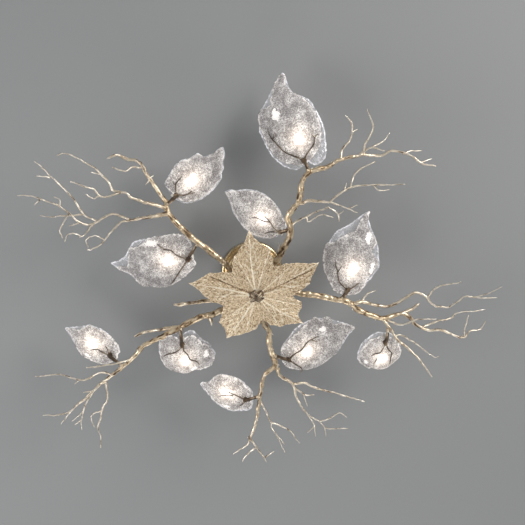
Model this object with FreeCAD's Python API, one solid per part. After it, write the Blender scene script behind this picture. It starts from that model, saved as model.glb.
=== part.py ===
import FreeCAD, Part
import math
import os

from FreeCAD import Vector

# Branch chandelier: a ceiling canopy, a down tube and a socketed hub carry cast brass branches.
# Ten short stems on the branches hold pairs of glass leaves, each pair round a small capsule lamp.
# The ceiling is the plane z = 0 and the light hangs below it, +Z up. All sizes are millimetres.

# ---------------------------------------------------------------- driving dimensions
SPREAD = 1240.0            # across the outermost twig tips, left to right
DRAWN_SPREAD = 1240.0      # the spread that the branch routes below are drawn at
DROP = 168.0               # ceiling to the axes of the arm sockets
LEAF_DROP = 46.0           # socket axes to the middle of the maple leaf

# ceiling fixing
STRAP_LENGTH = 130.0
STRAP_WIDTH = 25.0
STRAP_THICKNESS = 2.0
STRAP_CRANK = 8.0          # how far the middle of the strap stands off the ceiling
STRAP_MIDDLE = 68.0        # length of the lowered middle
STRAP_BEND = 6.0           # run of each sloping bend
SLOT_SPACING = 104.0
SLOT_WIDTH = 5.2
SLOT_LENGTH = 16.0
BLOCK_LENGTH = 20.0        # terminal block
BLOCK_WIDTH = 22.0
BLOCK_HEIGHT = 13.0
BLOCK_WAYS = 3

# down tube with its nuts
TUBE_RADIUS = 5.0
TUBE_BORE = 3.6
NUT_RADIUS = 9.0
NUT_HEIGHT = 4.5
THREAD_FIT = 0.05          # radial room between a thread and its nut
CLEARANCE = 0.3            # room between pieces that only sit by one another

# canopy: spun cup with a rim bead and one step
CANOPY_RADIUS = 84.0
CANOPY_STEP_RADIUS = 72.0
CANOPY_DEPTH = 30.0
CANOPY_RIM = 9.0           # height of the wide band at the ceiling
CANOPY_WALL = 1.2
COLLAR_RADIUS = 11.0
COLLAR_HEIGHT = 10.0
SLIDE_FIT = 0.1            # radial room of the collar on the tube
GRUB_RADIUS = 2.0

# hub
HUB_RADIUS = 40.0
HUB_WALL = 3.0
HUB_ABOVE = 16.0           # socket axes to the top face
HUB_BELOW = 20.0           # socket axes to the bottom rim
SOCKET_RADIUS = 10.0       # outside of a socket boss
SOCKET_REACH = 54.0        # hub centre to the mouth of a socket
SPIGOT_RADIUS = 6.0
SPIGOT_LENGTH = 18.0
SPIGOT_FIT = 0.1
ARM_GRUB_RADIUS = 2.5
COVER_THICKNESS = 3.0
COVER_SCREW_RADIUS = 1.8
COVER_SCREW_CIRCLE = 31.0
POST_RADIUS = 4.5

# maple leaf on its stud
STUD_RADIUS = 4.0
STUD_HEAD = 5.0
SPACER_RADIUS = 7.0
LEAF_THICKNESS = 3.0
LEAF_EYE_RADIUS = 20.0     # flat eye in the middle of the leaf
KNOT_RADIUS = 11.0
KNOT_HEIGHT = 9.0

# facets that stand for a round: drum, turned pieces, bores and pins, limbs and twigs
CANOPY_SIDES = 40
DRUM_SIDES = 24
TURNED_SIDES = 12
PIN_SIDES = 6
SPIGOT_SIDES = 8
ARM_SIDES = 8
BRANCH_SIDES = 5
TWIG_SIDES = 4
TIP_SIDES = 3

# branches
ARM_FROM = 5.0             # radius from which a limb has an arm's ridged section
BRANCH_FROM = 2.5          # radius from which a limb has a branch's section
TWIG_FROM = 1.9            # radius from which a limb has a twig's section
RIDGE = 0.86               # valley radius over ridge radius on the main limbs
LIMB_OVERLAP = 0.6         # how far a limb reaches back into its parent, in its own radii
BOSS_RADIUS = 5.5          # seat of a shade stem on a branch

# shade units, in each unit's own frame: u along the leaf, w across it, h up
STEM_RADIUS = 3.6
KNUCKLE_RADIUS = 6.5
KNUCKLE_HEIGHT = 13.0
FRONT_SEAT = -12.0         # underside of the front leaf over the knuckle
SEAT_FRONT = 9.0           # how far the level seat of a leaf runs past the screw
GLASS_THICKNESS = 3.0
BACK_THICKNESS = 2.4
HOLDER_RADIUS = 8.4
HOLDER_BACK = -9.0
HOLDER_FRONT = 28.0
HOLDER_FOOT = 4.0          # half width of its foot on the glass
LAMP_RADIUS = 7.5
LAMP_LENGTH = 42.0
SCREW_RADIUS = 1.8
SCREW_HEAD_RADIUS = 4.5
SCREW_HEAD_HEIGHT = 3.0
SCREW_BITE = 8.0           # length of screw held in the knuckle
SCREW_FIT = 0.4            # radial room of the screw in glass and lamp holder
PRONG_RADIUS = 2.0
PRONG_TIP_RADIUS = 1.2
PRONG_GAP = 1.0            # room between a prong and the glass it cradles

UP = Vector(0, 0, 1)


# ---------------------------------------------------------------- flat-faced solids
def across(direction):
    """Two unit vectors square to a direction and to each other."""
    helper = UP if abs(direction.z) < 0.9 else Vector(1, 0, 0)
    first = helper.cross(direction).normalize()
    return first, direction.cross(first)


def ring(centre, direction, radius, sides, ridge=1.0):
    """Polygon round a centre; ridge < 1 pulls every second corner in."""
    first, second = across(direction)
    points = []
    for k in range(sides):
        angle = 2 * math.pi * k / sides
        reach = radius * (ridge if k % 2 else 1.0)
        points.append(centre + first * (reach * math.cos(angle)) + second * (reach * math.sin(angle)))
    return points


def flat_face(points):
    return Part.Face(Part.makePolygon(points + [points[0]]))


def skin(rings):
    """Solid through rings whose matching edges are parallel, so that every face is flat."""
    count = len(rings[0])
    faces = [flat_face(rings[0]), flat_face(rings[-1])]
    for near, far in zip(rings, rings[1:]):
        for k in range(count):
            after = (k + 1) % count
            faces.append(flat_face([near[k], near[after], far[after], far[k]]))
    solid = Part.makeSolid(Part.makeShell(faces))
    if solid.Volume < 0:
        solid.reverse()
    return solid


def prism(centre, direction, length, radius, sides, far_radius=None):
    """Straight or tapered bar of polygon section from a centre along a direction."""
    direction = Vector(direction).normalize()
    end = centre + direction * length
    far_radius = radius if far_radius is None else far_radius
    return skin([ring(centre, direction, radius, sides), ring(end, direction, far_radius, sides)])


def turned(centre, direction, length, radius, sides=TURNED_SIDES):
    """Turned round, faceted."""
    return prism(centre, direction, length, radius, sides)


def join(shapes):
    joined = shapes[0].multiFuse(shapes[1:]) if len(shapes) > 1 else shapes[0]
    return joined.removeSplitter()


def limb(route, start_radius, end_radius, sides, ridge=1.0, overlap=LIMB_OVERLAP):
    """Tapered limb along a route, its sections all square to the route's overall run."""
    run = (route[-1] - route[0]).normalize()
    steps = [(b - a).Length for a, b in zip(route, route[1:])]
    total = sum(steps)
    travelled = 0.0
    rings = []
    if overlap:
        rings.append(ring(route[0] - run * (overlap * start_radius), run, start_radius, sides, ridge))
    for k, point in enumerate(route):
        before = route[max(k - 1, 0)]
        after = route[min(k + 1, len(route) - 1)]
        slant = max((after - before).normalize().dot(run), 0.5)
        radius = start_radius + (end_radius - start_radius) * travelled / total
        if k or not overlap:
            rings.append(ring(point, run, radius / math.sqrt(slant), sides, ridge))
        if k < len(steps):
            travelled += steps[k]
    return skin(rings)


# ---------------------------------------------------------------- branch routes
def place(point):
    """A drawn route point (x, y, height over the socket axes) in the light's own frame."""
    scale = SPREAD / DRAWN_SPREAD
    return Vector(point[0] * scale, point[1] * scale, point[2] - DROP)


# Each limb: radius at its start, radius at its end, then the points it grows through.
# The first limb of an arm grows out of its hub socket.
BRANCHES = {
    "arm_upper_left": [
        (8.5, 6.2, [(-60, -50, 0), (-90, -85, -2), (-175, -160, -12), (-205, -195, -14),
                    (-222, -218, -10), (-226, -240, -4)]),
        (5.2, 3.0, [(-226, -240, -4), (-270, -305, 13), (-290, -340, 18), (-322, -348, 23),
                    (-348, -360, 18), (-365, -354, 12)]),
        (2.6, 1.6, [(-280, -325, 15), (-308, -330, 8), (-326, -322, -2), (-355, -333, -4)]),
        (2.4, 1.5, [(-268, -300, 11), (-256, -308, 3)]),
        (2.4, 1.5, [(-266, -298, 10), (-277, -288, 0)]),
        (4.4, 3.0, [(-224, -226, -8), (-305, -255, -24), (-322, -270, -27), (-340, -274, -28)]),
        (3.0, 2.2, [(-340, -274, -28), (-358, -280, -24), (-368, -300, -20), (-400, -334, -12)]),
        (2.3, 1.4, [(-400, -334, -12), (-424, -348, -8), (-470, -370, -14), (-488, -367, -18)]),
        (1.8, 1.3, [(-384, -318, -16), (-406, -321, -8)]),
        (2.6, 1.5, [(-338, -273, -28), (-365, -267, -37), (-387, -270, -42), (-404, -287, -45),
                    (-452, -309, -58)]),
        (2.0, 1.4, [(-387, -270, -42), (-404, -264, -46), (-421, -273, -48)]),
    ],
    "spray_upper_left": [
        (4.6, 3.4, [(-232, -211, -10), (-336, -190, 6)]),
        (3.2, 2.6, [(-320, -194, 3), (-354, -209, 8), (-376, -204, 10), (-414, -184, 8)]),
        (2.6, 1.4, [(-405, -192, 10), (-436, -208, 18), (-476, -262, 33), (-550, -334, 46)]),
        (1.8, 1.2, [(-517, -299, 40), (-548, -308, 26)]),
        (2.3, 1.3, [(-436, -208, 18), (-502, -205, 3), (-539, -210, -4)]),
        (2.6, 1.4, [(-412, -184, 8), (-440, -187, 3), (-492, -236, -10), (-562, -266, -20),
                    (-590, -268, -24)]),
        (1.9, 1.3, [(-491, -236, -10), (-492, -250, -2), (-506, -258, 2)]),
        (1.8, 1.4, [(-540, -255, -16), (-553, -242, -8)]),
        (2.1, 1.4, [(-470, -213, -5), (-493, -179, -18), (-489, -159, -22)]),
        (2.0, 1.4, [(-445, -190, 2), (-470, -184, -7)]),
        (2.4, 1.8, [(-414, -183, 8), (-434, -160, -2), (-445, -155, -8)]),
        (1.9, 1.3, [(-443, -156, -8), (-462, -167, -14), (-475, -165, -18), (-482, -149, -22)]),
        (2.8, 1.6, [(-334, -191, 6), (-346, -186, 4), (-386, -145, -16), (-413, -128, -24),
                    (-426, -127, -28)]),
        (2.0, 1.4, [(-384, -147, -15), (-406, -157, -8), (-424, -154, -4)]),
        (1.6, 1.2, [(-422, -155, -4), (-433, -144, -2), (-427, -125, 0)]),
    ],
    "arm_upper_right": [
        (9.0, 6.4, [(46, -64, 0), (80, -127, -6), (91, -169, -10), (82, -202, -14),
                    (108, -238, -16), (120, -292, -10), (139, -316, -4)]),
        (2.4, 1.2, [(61, -94, -2), (59, -130, -8)]),
        (6.0, 4.0, [(139, -316, -4), (188, -327, 4), (215, -342, 8), (274, -353, 16)]),
        (3.6, 2.2, [(274, -353, 16), (320, -348, 20), (353, -361, 18), (398, -349, 8),
                    (423, -332, 2), (456, -325, -4)]),
        (1.8, 1.2, [(422, -333, 2), (451, -340, 10)]),
        (2.0, 1.3, [(378, -353, 13), (400, -359, 20), (427, -359, 24)]),
        (2.8, 1.8, [(258, -349, 14), (292, -370, 10), (325, -365, 0)]),
        (2.0, 1.4, [(291, -369, 10), (326, -385, 18), (343, -404, 24)]),
        (3.0, 1.5, [(218, -343, 8), (224, -367, 18), (243, -389, 26), (249, -410, 32),
                    (246, -431, 38), (233, -448, 42)]),
        (3.0, 1.5, [(274, -352, 16), (279, -381, 8), (296, -425, -4), (278, -470, -16)]),
        (1.8, 1.3, [(248, -408, 31), (262, -413, 36)]),
        (2.8, 1.6, [(92, -172, -11), (107, -188, -16), (176, -226, -30), (187, -226, -31),
                    (207, -210, -34), (211, -195, -35)]),
        (2.2, 1.3, [(128, -200, -22), (135, -192, -29), (167, -210, -35), (195, -203, -37)]),
        (1.7, 1.2, [(208, -209, -34), (221, -218, -35)]),
    ],
    "spray_upper_right": [
        (4.4, 3.0, [(118, -235, -18), (134, -243, -23), (186, -242, -30)]),
        (2.8, 1.6, [(186, -242, -30), (212, -263, -26), (257, -279, -20), (367, -286, -34)]),
        (2.2, 1.5, [(238, -274, -22), (249, -301, -14), (263, -318, -8), (302, -337, -2)]),
        (1.9, 1.3, [(296, -282, -22), (315, -265, -14), (342, -265, -8)]),
        (2.2, 1.4, [(186, -242, -30), (250, -220, -50)]),
        (1.7, 1.3, [(230, -227, -43), (254, -233, -40)]),
        (1.7, 1.3, [(224, -268, -24), (228, -286, -18)]),
    ],
    "arm_right": [
        (9.0, 7.0, [(78, 6, 0), (173, 20, -4), (246, 36, -12), (267, 54, -14), (294, 69, -15),
                    (336, 83, -14)]),
        (6.2, 4.2, [(336, 83, -14), (386, 72, -10), (409, 83, -8), (424, 101, -8),
                    (444, 113, -12)]),
        (4.0, 2.8, [(444, 113, -12), (468, 121, -16), (494, 119, -18), (543, 139, -26)]),
        (2.8, 1.5, [(543, 139, -26), (560, 136, -24), (574, 123, -18), (603, 121, -12),
                    (617, 102, -8)]),
        (2.0, 1.4, [(556, 135, -25), (553, 106, -34), (560, 71, -40)]),
        (4.2, 3.8, [(386, 72, -10), (416, 65, -2), (432, 52, 2)]),
        (2.8, 1.5, [(346, 86, -14), (385, 98, -22), (428, 82, -28), (473, 81, -32)]),
        (2.9, 1.4, [(440, 112, -12), (460, 110, -4), (490, 100, 2), (524, 96, 8), (546, 82, 12),
                    (617, 78, 20)]),
        (4.4, 2.0, [(336, 83, -14), (379, 138, -32), (424, 180, -44), (466, 231, -56)]),
        (2.2, 1.4, [(368, 127, -28), (394, 130, -22), (475, 193, -12), (493, 197, -10)]),
    ],
    "spray_right": [
        (4.4, 3.2, [(268, 38, -12), (281, 37, -9), (341, 54, -2), (371, 48, 0), (423, 18, -2),
                    (456, 32, -4)]),
        (2.4, 1.5, [(454, 31, -4), (481, -2, -12), (536, -15, -20)]),
        (2.8, 2.4, [(456, 32, -4), (467, 47, -2), (485, 59, 0)]),
        (2.4, 1.3, [(485, 59, 0), (517, 60, 2), (541, 46, 0), (557, 30, -4), (592, 29, -8),
                    (649, 4, -16)]),
        (1.8, 1.3, [(578, 30, -6), (608, 38, 2), (648, 39, 8)]),
        (2.2, 1.4, [(279, 37, -8), (292, 13, -16), (312, 2, -22)]),
    ],
    "arm_bottom": [
        (8.5, 6.6, [(17, 76, 0), (21, 92, 0), (36, 117, -2), (36, 151, -6), (53, 208, -12)]),
        (5.8, 3.6, [(53, 208, -12), (19, 250, -16), (1, 362, -20), (-17, 422, -17)]),
        (2.6, 1.4, [(-17, 421, -17), (-24, 446, -12), (-62, 475, -2)]),
        (3.0, 1.6, [(-17, 421, -17), (25, 481, -36)]),
        (1.8, 1.3, [(22, 473, -34), (48, 463, -24)]),
        (2.2, 1.3, [(1, 444, -26), (-30, 480, -10), (-37, 495, -7)]),
        (2.8, 2.2, [(10, 306, -19), (42, 383, -4)]),
        (2.1, 1.4, [(42, 382, -4), (91, 413, 6), (121, 456, 14)]),
        (2.0, 1.4, [(42, 382, -4), (46, 400, -10), (74, 438, -22)]),
        (1.7, 1.3, [(57, 419, -15), (79, 471, -6)]),
    ],
    "spray_bottom": [
        (4.8, 4.0, [(58, 221, -11), (67, 245, -8), (101, 270, -4)]),
        (3.2, 1.5, [(101, 270, -4), (137, 270, 0), (153, 282, 2), (205, 299, 0), (289, 322, -12)]),
        (3.2, 2.2, [(101, 270, -4), (111, 309, -14), (140, 355, -26)]),
        (2.1, 1.4, [(140, 355, -26), (158, 382, -32), (161, 410, -36)]),
        (1.7, 1.3, [(157, 388, -32), (140, 397, -38)]),
        (2.1, 1.6, [(140, 355, -26), (173, 375, -22)]),
        (1.9, 1.4, [(172, 374, -22), (186, 394, -20), (191, 421, -18)]),
        (1.7, 1.2, [(187, 395, -20), (207, 402, -14), (251, 406, -8)]),
        (1.8, 1.2, [(172, 374, -22), (195, 367, -28), (223, 346, -34), (242, 356, -38)]),
        (2.4, 1.5, [(104, 279, -6), (137, 307, 0), (158, 308, 4)]),
        (1.8, 1.3, [(131, 302, -1), (141, 340, 8)]),
    ],
    "arm_lower_left": [
        (8.5, 6.4, [(-72, 44, 0), (-110, 64, -2), (-142, 69, -5), (-167, 80, -8),
                    (-300, 147, -16)]),
        (6.2, 4.0, [(-300, 147, -16), (-338, 188, -18), (-405, 241, -20)]),
        (4.4, 4.8, [(-120, 68, -3), (-118, 86, -5)]),
        (4.8, 3.6, [(-197, 95, -11), (-287, 113, 8), (-316, 126, 13)]),
        (3.0, 1.6, [(-399, 236, -20), (-397, 297, -10), (-410, 322, -6), (-427, 386, 0),
                    (-422, 415, 2), (-425, 447, 4)]),
        (1.9, 1.3, [(-414, 334, -4), (-432, 334, -12), (-443, 346, -16), (-437, 372, -20)]),
        (3.0, 1.5, [(-382, 222, -20), (-404, 218, -12), (-428, 226, -6), (-447, 239, -2),
                    (-471, 243, 0), (-522, 229, 4), (-582, 233, 8)]),
        (1.8, 1.3, [(-468, 242, 0), (-483, 256, 6)]),
        (2.6, 1.8, [(-330, 179, -18), (-350, 181, -34), (-385, 186, -39), (-441, 190, -41)]),
    ],
    "spray_lower_left": [
        (3.6, 1.6, [(-411, 246, -21), (-500, 320, -36), (-563, 325, -40)]),
        (2.5, 1.4, [(-433, 266, -25), (-464, 329, -12), (-471, 386, -4)]),
        (1.7, 1.3, [(-465, 331, -12), (-492, 352, -20)]),
        (1.7, 1.3, [(-469, 358, -8), (-487, 374, -2)]),
        (1.8, 1.3, [(-490, 313, -35), (-520, 358, -24)]),
        (1.9, 1.4, [(-430, 264, -24), (-458, 271, -20)]),
    ],
    "stub_left": [
        (6.0, 4.6, [(-78, 6, 0), (-122, 25, -4), (-204, 32, -12)]),
    ],
}
SOCKETED = ["arm_upper_left", "arm_upper_right", "arm_right", "arm_bottom", "arm_lower_left",
            "stub_left"]
SPRAY_PARENT = {
    "spray_upper_left": "arm_upper_left",
    "spray_upper_right": "arm_upper_right",
    "spray_right": "arm_right",
    "spray_bottom": "arm_bottom",
    "spray_lower_left": "arm_lower_left",
}

# ---------------------------------------------------------------- shade units
# Leaf outlines. Base: how far it reaches behind the screw and its left and right half widths;
# seat: half widths at the front end of the level seat; then stations (share of the length,
# left and right half width, height of the keel over the seat). Widths are shares of the
# greatest half width, left as seen from below with the tip up.
OUTLINES = {
    "broad": ((13, 0.32, 0.24), (0.76, 0.70),
              [(0.28, 0.99, 0.79, -7), (0.64, 1.04, 0.56, -7), (0.73, 0.64, 0.40, -4),
               (0.88, 0.30, 0.18, 3), (1.00, 0.04, 0.04, 11)]),
    "long": ((12, 0.30, 0.24), (0.72, 0.50),
             [(0.17, 1.06, 0.80, -4), (0.38, 1.14, 1.00, -7), (0.60, 0.94, 0.80, -6),
              (0.80, 0.40, 0.46, 0), (1.00, 0.04, 0.04, 9)]),
    "small": ((10, 0.34, 0.30), (0.74, 0.70),
              [(0.28, 1.00, 0.98, -4), (0.52, 0.92, 0.94, -6), (0.74, 0.58, 0.66, -3),
               (0.88, 0.28, 0.34, 2), (1.00, 0.04, 0.04, 7)]),
    "heart": ((14, 0.50, 0.30), (0.86, 0.80),
              [(0.36, 1.04, 1.02, -5), (0.60, 0.98, 0.98, -7), (0.82, 0.62, 0.80, -6),
               (0.95, 0.42, 0.56, -3), (1.00, 0.20, 0.34, -1)]),
}
NOTCHED = ("heart",)           # outlines whose base is cut out round the stem
NOTCH_START = 5.0              # screw to the foot of the notch
NOTCH_WIDTHS = (13.0, 26.0)    # width of the notch at its foot and at the edge of the leaf
FRONT_SLOPES = (10.0, 34.0)    # degrees of the inner and outer strips of the front leaf
BACK_SLOPES = (10.0,)
STRIP_SPLIT = 0.55             # share of the half width that the inner strip takes
BACK_GROWTH = 1.02             # back leaf over front leaf
BACK_FALL = 0.35               # share of the front keel's depth that the back leaf follows
BACK_DIP = 5.0                 # how far the tip of the back leaf comes down to the front leaf

# Each unit: branch, point on the branch, seat of the unit, heading and pitch in degrees,
# length and half width, outline, turn of the back leaf, and the prongs' (u, w) points.
SHADES = [
    ("arm_upper_right", (136, -316, -4), (124, -339, 12), 257, 18, 225, 74, "broad", -3,
     [[(33, -42), (66, -62), (97, -70)], [(34, 34), (51, 40)]]),
    ("arm_upper_left", (-225, -234, -6), (-203, -256, 8), 319, 18, 165, 50, "small", 4,
     [[(21, -22), (42, -24)], [(20, 17), (36, 20)]]),
    ("arm_upper_right", (91, -165, -10), (67, -157, 3), 214, 18, 170, 47, "small", -4,
     [[(35, 6), (52, -2), (83, -16)], [(24, -18), (32, -28)]]),
    ("arm_upper_left", (-147, -136, -8), (-169, -92, 3), 171, 18, 212, 69, "long", 4,
     [[(22, 9), (43, 27), (78, 45)], [(30, -32), (68, -72)]]),
    ("arm_right", (224, 30, -9), (241, 7, 6), 287, 18, 210, 70, "broad", 4,
     [[(14, -26), (51, -45), (65, -50)], [(24, 24), (38, 30)]]),
    ("arm_bottom", (47, 182, -10), (82, 196, 2), 345, 18, 212, 61, "long", -4,
     [[(42, -13), (62, -25), (97, -29)], [(15, 20), (35, 48)]]),
    ("arm_right", (352, 109, -22), (343, 138, -18), 93, 18, 101, 53, "heart", 4,
     [[(32, 8), (49, 30)], [(22, -10), (53, -22), (75, -23)]]),
    ("arm_lower_left", (-199, 96, -11), (-195, 132, -15), 84, 18, 106, 66, "heart", -4,
     [[(16, 10), (43, 54)], [(21, -2), (51, -15), (80, -36)]]),
    ("arm_lower_left", (-352, 197, -19), (-380, 168, -7), 208, 18, 142, 45, "small", 4,
     [[(26, -3), (50, -13)], [(14, 8), (24, 20)]]),
    ("arm_bottom", (10, 297, -18), (-24, 305, -7), 193, 18, 126, 44, "small", -4,
     [[(29, 4), (62, -7)], [(6, -18), (14, -28)]]),
]

# Maple leaf, from its stalk end round: bearing, reach and rise of every point and notch
LEAF_EDGE = [
    (2, 93, -1), (10, 118, 2), (17, 123, 2), (27, 122, 3), (34, 148, 9), (44, 119, 4), (55, 108, 2),
    (66, 90, 0), (77, 68, -1), (90, 92, 0), (102, 104, 2), (112, 118, 4), (123, 142, 9),
    (132, 122, 3), (143, 121, 2), (153, 100, 0), (163, 88, -1), (172, 116, 1), (181, 135, 3),
    (191, 176, 10), (200, 148, 4), (208, 135, 2), (217, 108, 0), (226, 88, -1), (235, 108, 1),
    (243, 121, 2), (253, 134, 5), (264, 172, 11), (274, 138, 5), (286, 129, 2), (293, 106, 0),
    (301, 88, -1), (311, 112, 1), (320, 133, 2), (326, 148, 5), (333, 182, 12), (340, 156, 5),
    (348, 141, 2), (355, 116, 0),
]


def half_section(half, keel, slopes):
    """Distances and heights from the keel out to one edge; two slopes give it a fold."""
    if len(slopes) == 1:
        return [(half, keel + half * math.tan(math.radians(slopes[0])))]
    fold = half * STRIP_SPLIT
    inner = keel + fold * math.tan(math.radians(slopes[0]))
    outer = inner + (half - fold) * math.tan(math.radians(slopes[1]))
    return [(fold, inner), (half, outer)]


def blade(stations, slopes, thickness):
    """Thin leaf along +X, keel down; stations are (along, left, right, keel height).

    Each strip keeps one slope all the way along, so that all faces are flat."""
    rings = []
    for along, left, right, keel in stations:
        right_side = [Vector(along, y, z) for y, z in half_section(right, keel, slopes)]
        left_side = [Vector(along, -y, z) for y, z in half_section(left, keel, slopes)]
        lower = right_side[::-1] + [Vector(along, 0, keel)] + left_side
        upper = [point + UP * thickness for point in reversed(lower)]
        rings.append(lower + upper)
    return skin(rings)


def unit_frame(seat, heading, pitch):
    """Placement that carries (u, w, h) to the light's frame."""
    turn = FreeCAD.Rotation(UP, heading)
    tip = FreeCAD.Rotation(Vector(0, 1, 0), -pitch)
    return FreeCAD.Placement(seat, turn.multiply(tip))


def glass_stations(outline, length, half_width, seat, growth=1.0):
    """Stations of a leaf: base, two ends of the level seat, then the outline's own."""
    base, front, rest = OUTLINES[outline]
    half = half_width * growth
    rows = [(-base[0], base[1] * half, base[2] * half, seat),
            (SEAT_FRONT, front[0] * half, front[1] * half, seat)]
    for share, left, right, keel in rest:
        rows.append((share * length * growth, left * half, right * half, seat + keel))
    return rows


def underside(stations, along, aside):
    """Height of the front leaf's underside over a point of its own plane."""
    first, last = stations[0], stations[-1]
    for near, far in zip(stations, stations[1:]):
        if near[0] <= along <= far[0]:
            first, last = near, far
            break
    share = (along - first[0]) / (last[0] - first[0])
    side = 2 if aside > 0 else 1
    half = first[side] + (last[side] - first[side]) * share
    keel = first[3] + (last[3] - first[3]) * share
    (fold, inner), (edge, outer) = half_section(half, keel, FRONT_SLOPES)
    reach = min(abs(aside), edge)
    if reach < fold:
        return keel + (inner - keel) * reach / fold
    return inner + (outer - inner) * (reach - fold) / (edge - fold)


def prong(stations, points):
    """Twig under the glass from the knuckle; all along it keeps its gap to the hollow leaf."""
    room = PRONG_GAP + PRONG_RADIUS * 1.2
    route = [Vector(0, 0, FRONT_SEAT - KNUCKLE_HEIGHT / 2)]
    for along, aside in [(points[0][0] * 0.4, points[0][1] * 0.4)] + points:
        route.append(Vector(along, aside, underside(stations, along, aside) - room))
    for near, far in zip(route, route[1:]):
        excess = 0.0
        for share in (0.25, 0.5, 0.75, 1.0):
            spot = near + (far - near) * share
            excess = max(excess, spot.z - underside(stations, spot.x, spot.y) + room)
        far.z -= excess
        if near is not route[0]:
            near.z -= excess
    return limb(route, PRONG_RADIUS, PRONG_TIP_RADIUS, TWIG_SIDES)


def notch_cutter(outline):
    """Wedge that opens the base of a heart-shaped leaf for its stem."""
    reach = OUTLINES[outline][0][0] + 2
    inner, outer = NOTCH_WIDTHS
    corners = [(-reach, outer / 2), (-NOTCH_START, inner / 2), (-NOTCH_START, -inner / 2),
               (-reach, -outer / 2)]
    foot = flat_face([Vector(x, y, FRONT_SEAT - 20) for x, y in corners])
    return foot.extrude(Vector(0, 0, 60))


def glass_pair(outline, length, half, turn):
    """Front and back leaf in the unit's frame, drilled for the screw."""
    slope = math.tan(math.radians(BACK_SLOPES[0]))
    back_seat = HOLDER_RADIUS + CLEARANCE
    front = blade(glass_stations(outline, length, half, FRONT_SEAT), FRONT_SLOPES, GLASS_THICKNESS)
    rows = []
    for along, left, right, keel in glass_stations(outline, length, half, 0, BACK_GROWTH):
        dip = BACK_DIP * max(along - HOLDER_FRONT - LAMP_LENGTH, 0) / length
        rows.append((along, left, right, back_seat + min(keel, 0) * -BACK_FALL - dip))
    back = blade(rows, BACK_SLOPES, BACK_THICKNESS)
    back = back.transformGeometry(FreeCAD.Placement(Vector(), FreeCAD.Rotation(UP, turn)).toMatrix())
    hole = prism(Vector(0, 0, FRONT_SEAT - 10), UP, 60, SCREW_RADIUS + SCREW_FIT, PIN_SIDES)
    if outline in NOTCHED:
        front = front.cut(notch_cutter(outline))
    cap_seat = back_seat + BACK_THICKNESS + SCREW_HEAD_RADIUS * slope
    return front.cut(hole), back.cut(hole), cap_seat


def make_holder():
    """Ceramic lamp holder with the foot that stands on the front leaf."""
    body = prism(Vector(HOLDER_BACK, 0, 0), Vector(1, 0, 0), HOLDER_FRONT - HOLDER_BACK,
                 HOLDER_RADIUS, PIN_SIDES)
    rise = HOLDER_FOOT * math.tan(math.radians(FRONT_SLOPES[0]))
    floor = FRONT_SEAT + GLASS_THICKNESS + rise + THREAD_FIT
    foot = Part.makeBox(12, 2 * HOLDER_FOOT, -floor, Vector(-6, -HOLDER_FOOT, floor))
    hole = prism(Vector(0, 0, FRONT_SEAT - 10), UP, 60, SCREW_RADIUS + SCREW_FIT, PIN_SIDES)
    return join([body, foot]).cut(hole)


def make_lamp():
    """Capsule lamp, face to face with the front of its holder."""
    shape = ((0, 1.0), (0.84, 1.0), (1.0, 0.4))
    return skin([ring(Vector(HOLDER_FRONT + share * LAMP_LENGTH, 0, 0), Vector(1, 0, 0),
                      LAMP_RADIUS * size, ARM_SIDES) for share, size in shape])


def make_shades(nodes, seats):
    """All ten units; seats collects the bosses that the branches need for them."""
    holders, lamps, screws = [], [], []
    screw_end = FRONT_SEAT - SCREW_BITE
    for number, shade in enumerate(SHADES, 1):
        branch, root, seat, heading, pitch, length, half, outline, turn, prongs = shade
        frame = unit_frame(place(seat), heading, pitch)
        front, back, cap_seat = glass_pair(outline, length, half, turn)
        holder, lamp = make_holder(), make_lamp()
        shank = prism(Vector(0, 0, screw_end), UP, cap_seat - screw_end, SCREW_RADIUS, PIN_SIDES)
        cap = prism(Vector(0, 0, cap_seat), UP, SCREW_HEAD_HEIGHT, SCREW_HEAD_RADIUS, PIN_SIDES)
        screw = join([shank, cap])
        rows = glass_stations(outline, length, half, FRONT_SEAT)
        knuckle = prism(Vector(0, 0, FRONT_SEAT - KNUCKLE_HEIGHT), UP, KNUCKLE_HEIGHT,
                        KNUCKLE_RADIUS, PIN_SIDES)
        tapped = prism(Vector(0, 0, screw_end), UP, SCREW_BITE, SCREW_RADIUS + THREAD_FIT, PIN_SIDES)
        cradle = [knuckle] + [prong(rows, points) for points in prongs]
        for shape in cradle + [front, back, holder, lamp, screw, tapped]:
            shape.Placement = frame
        stem_end = frame.multVec(Vector(0, 0, FRONT_SEAT - KNUCKLE_HEIGHT * 0.9))
        start = place(root)
        mouth = start + (stem_end - start).normalize() * (BOSS_RADIUS + 5)
        boss = limb([start, mouth], BOSS_RADIUS, BOSS_RADIUS * 0.8, BRANCH_SIDES, overlap=0)
        seats.setdefault(branch, []).append(boss)
        stem = limb([mouth, stem_end], STEM_RADIUS, STEM_RADIUS * 1.15, BRANCH_SIDES, overlap=0)
        nodes["shade_cradle_%02d" % number] = join(cradle + [stem]).cut(tapped)
        nodes["glass_leaf_%02d" % number] = front
        nodes["back_leaf_%02d" % number] = back
        holders.append(holder)
        lamps.append(lamp)
        screws.append(screw)
    nodes["lamp_holders"] = Part.makeCompound(holders)
    nodes["capsule_lamps"] = Part.makeCompound(lamps)
    nodes["glass_screws"] = Part.makeCompound(screws)


# ---------------------------------------------------------------- branches
def socket_direction(name):
    """Level direction from the hub centre to the first point of an arm."""
    first = place(BRANCHES[name][0][2][0])
    return Vector(first.x, first.y, 0).normalize()


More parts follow.
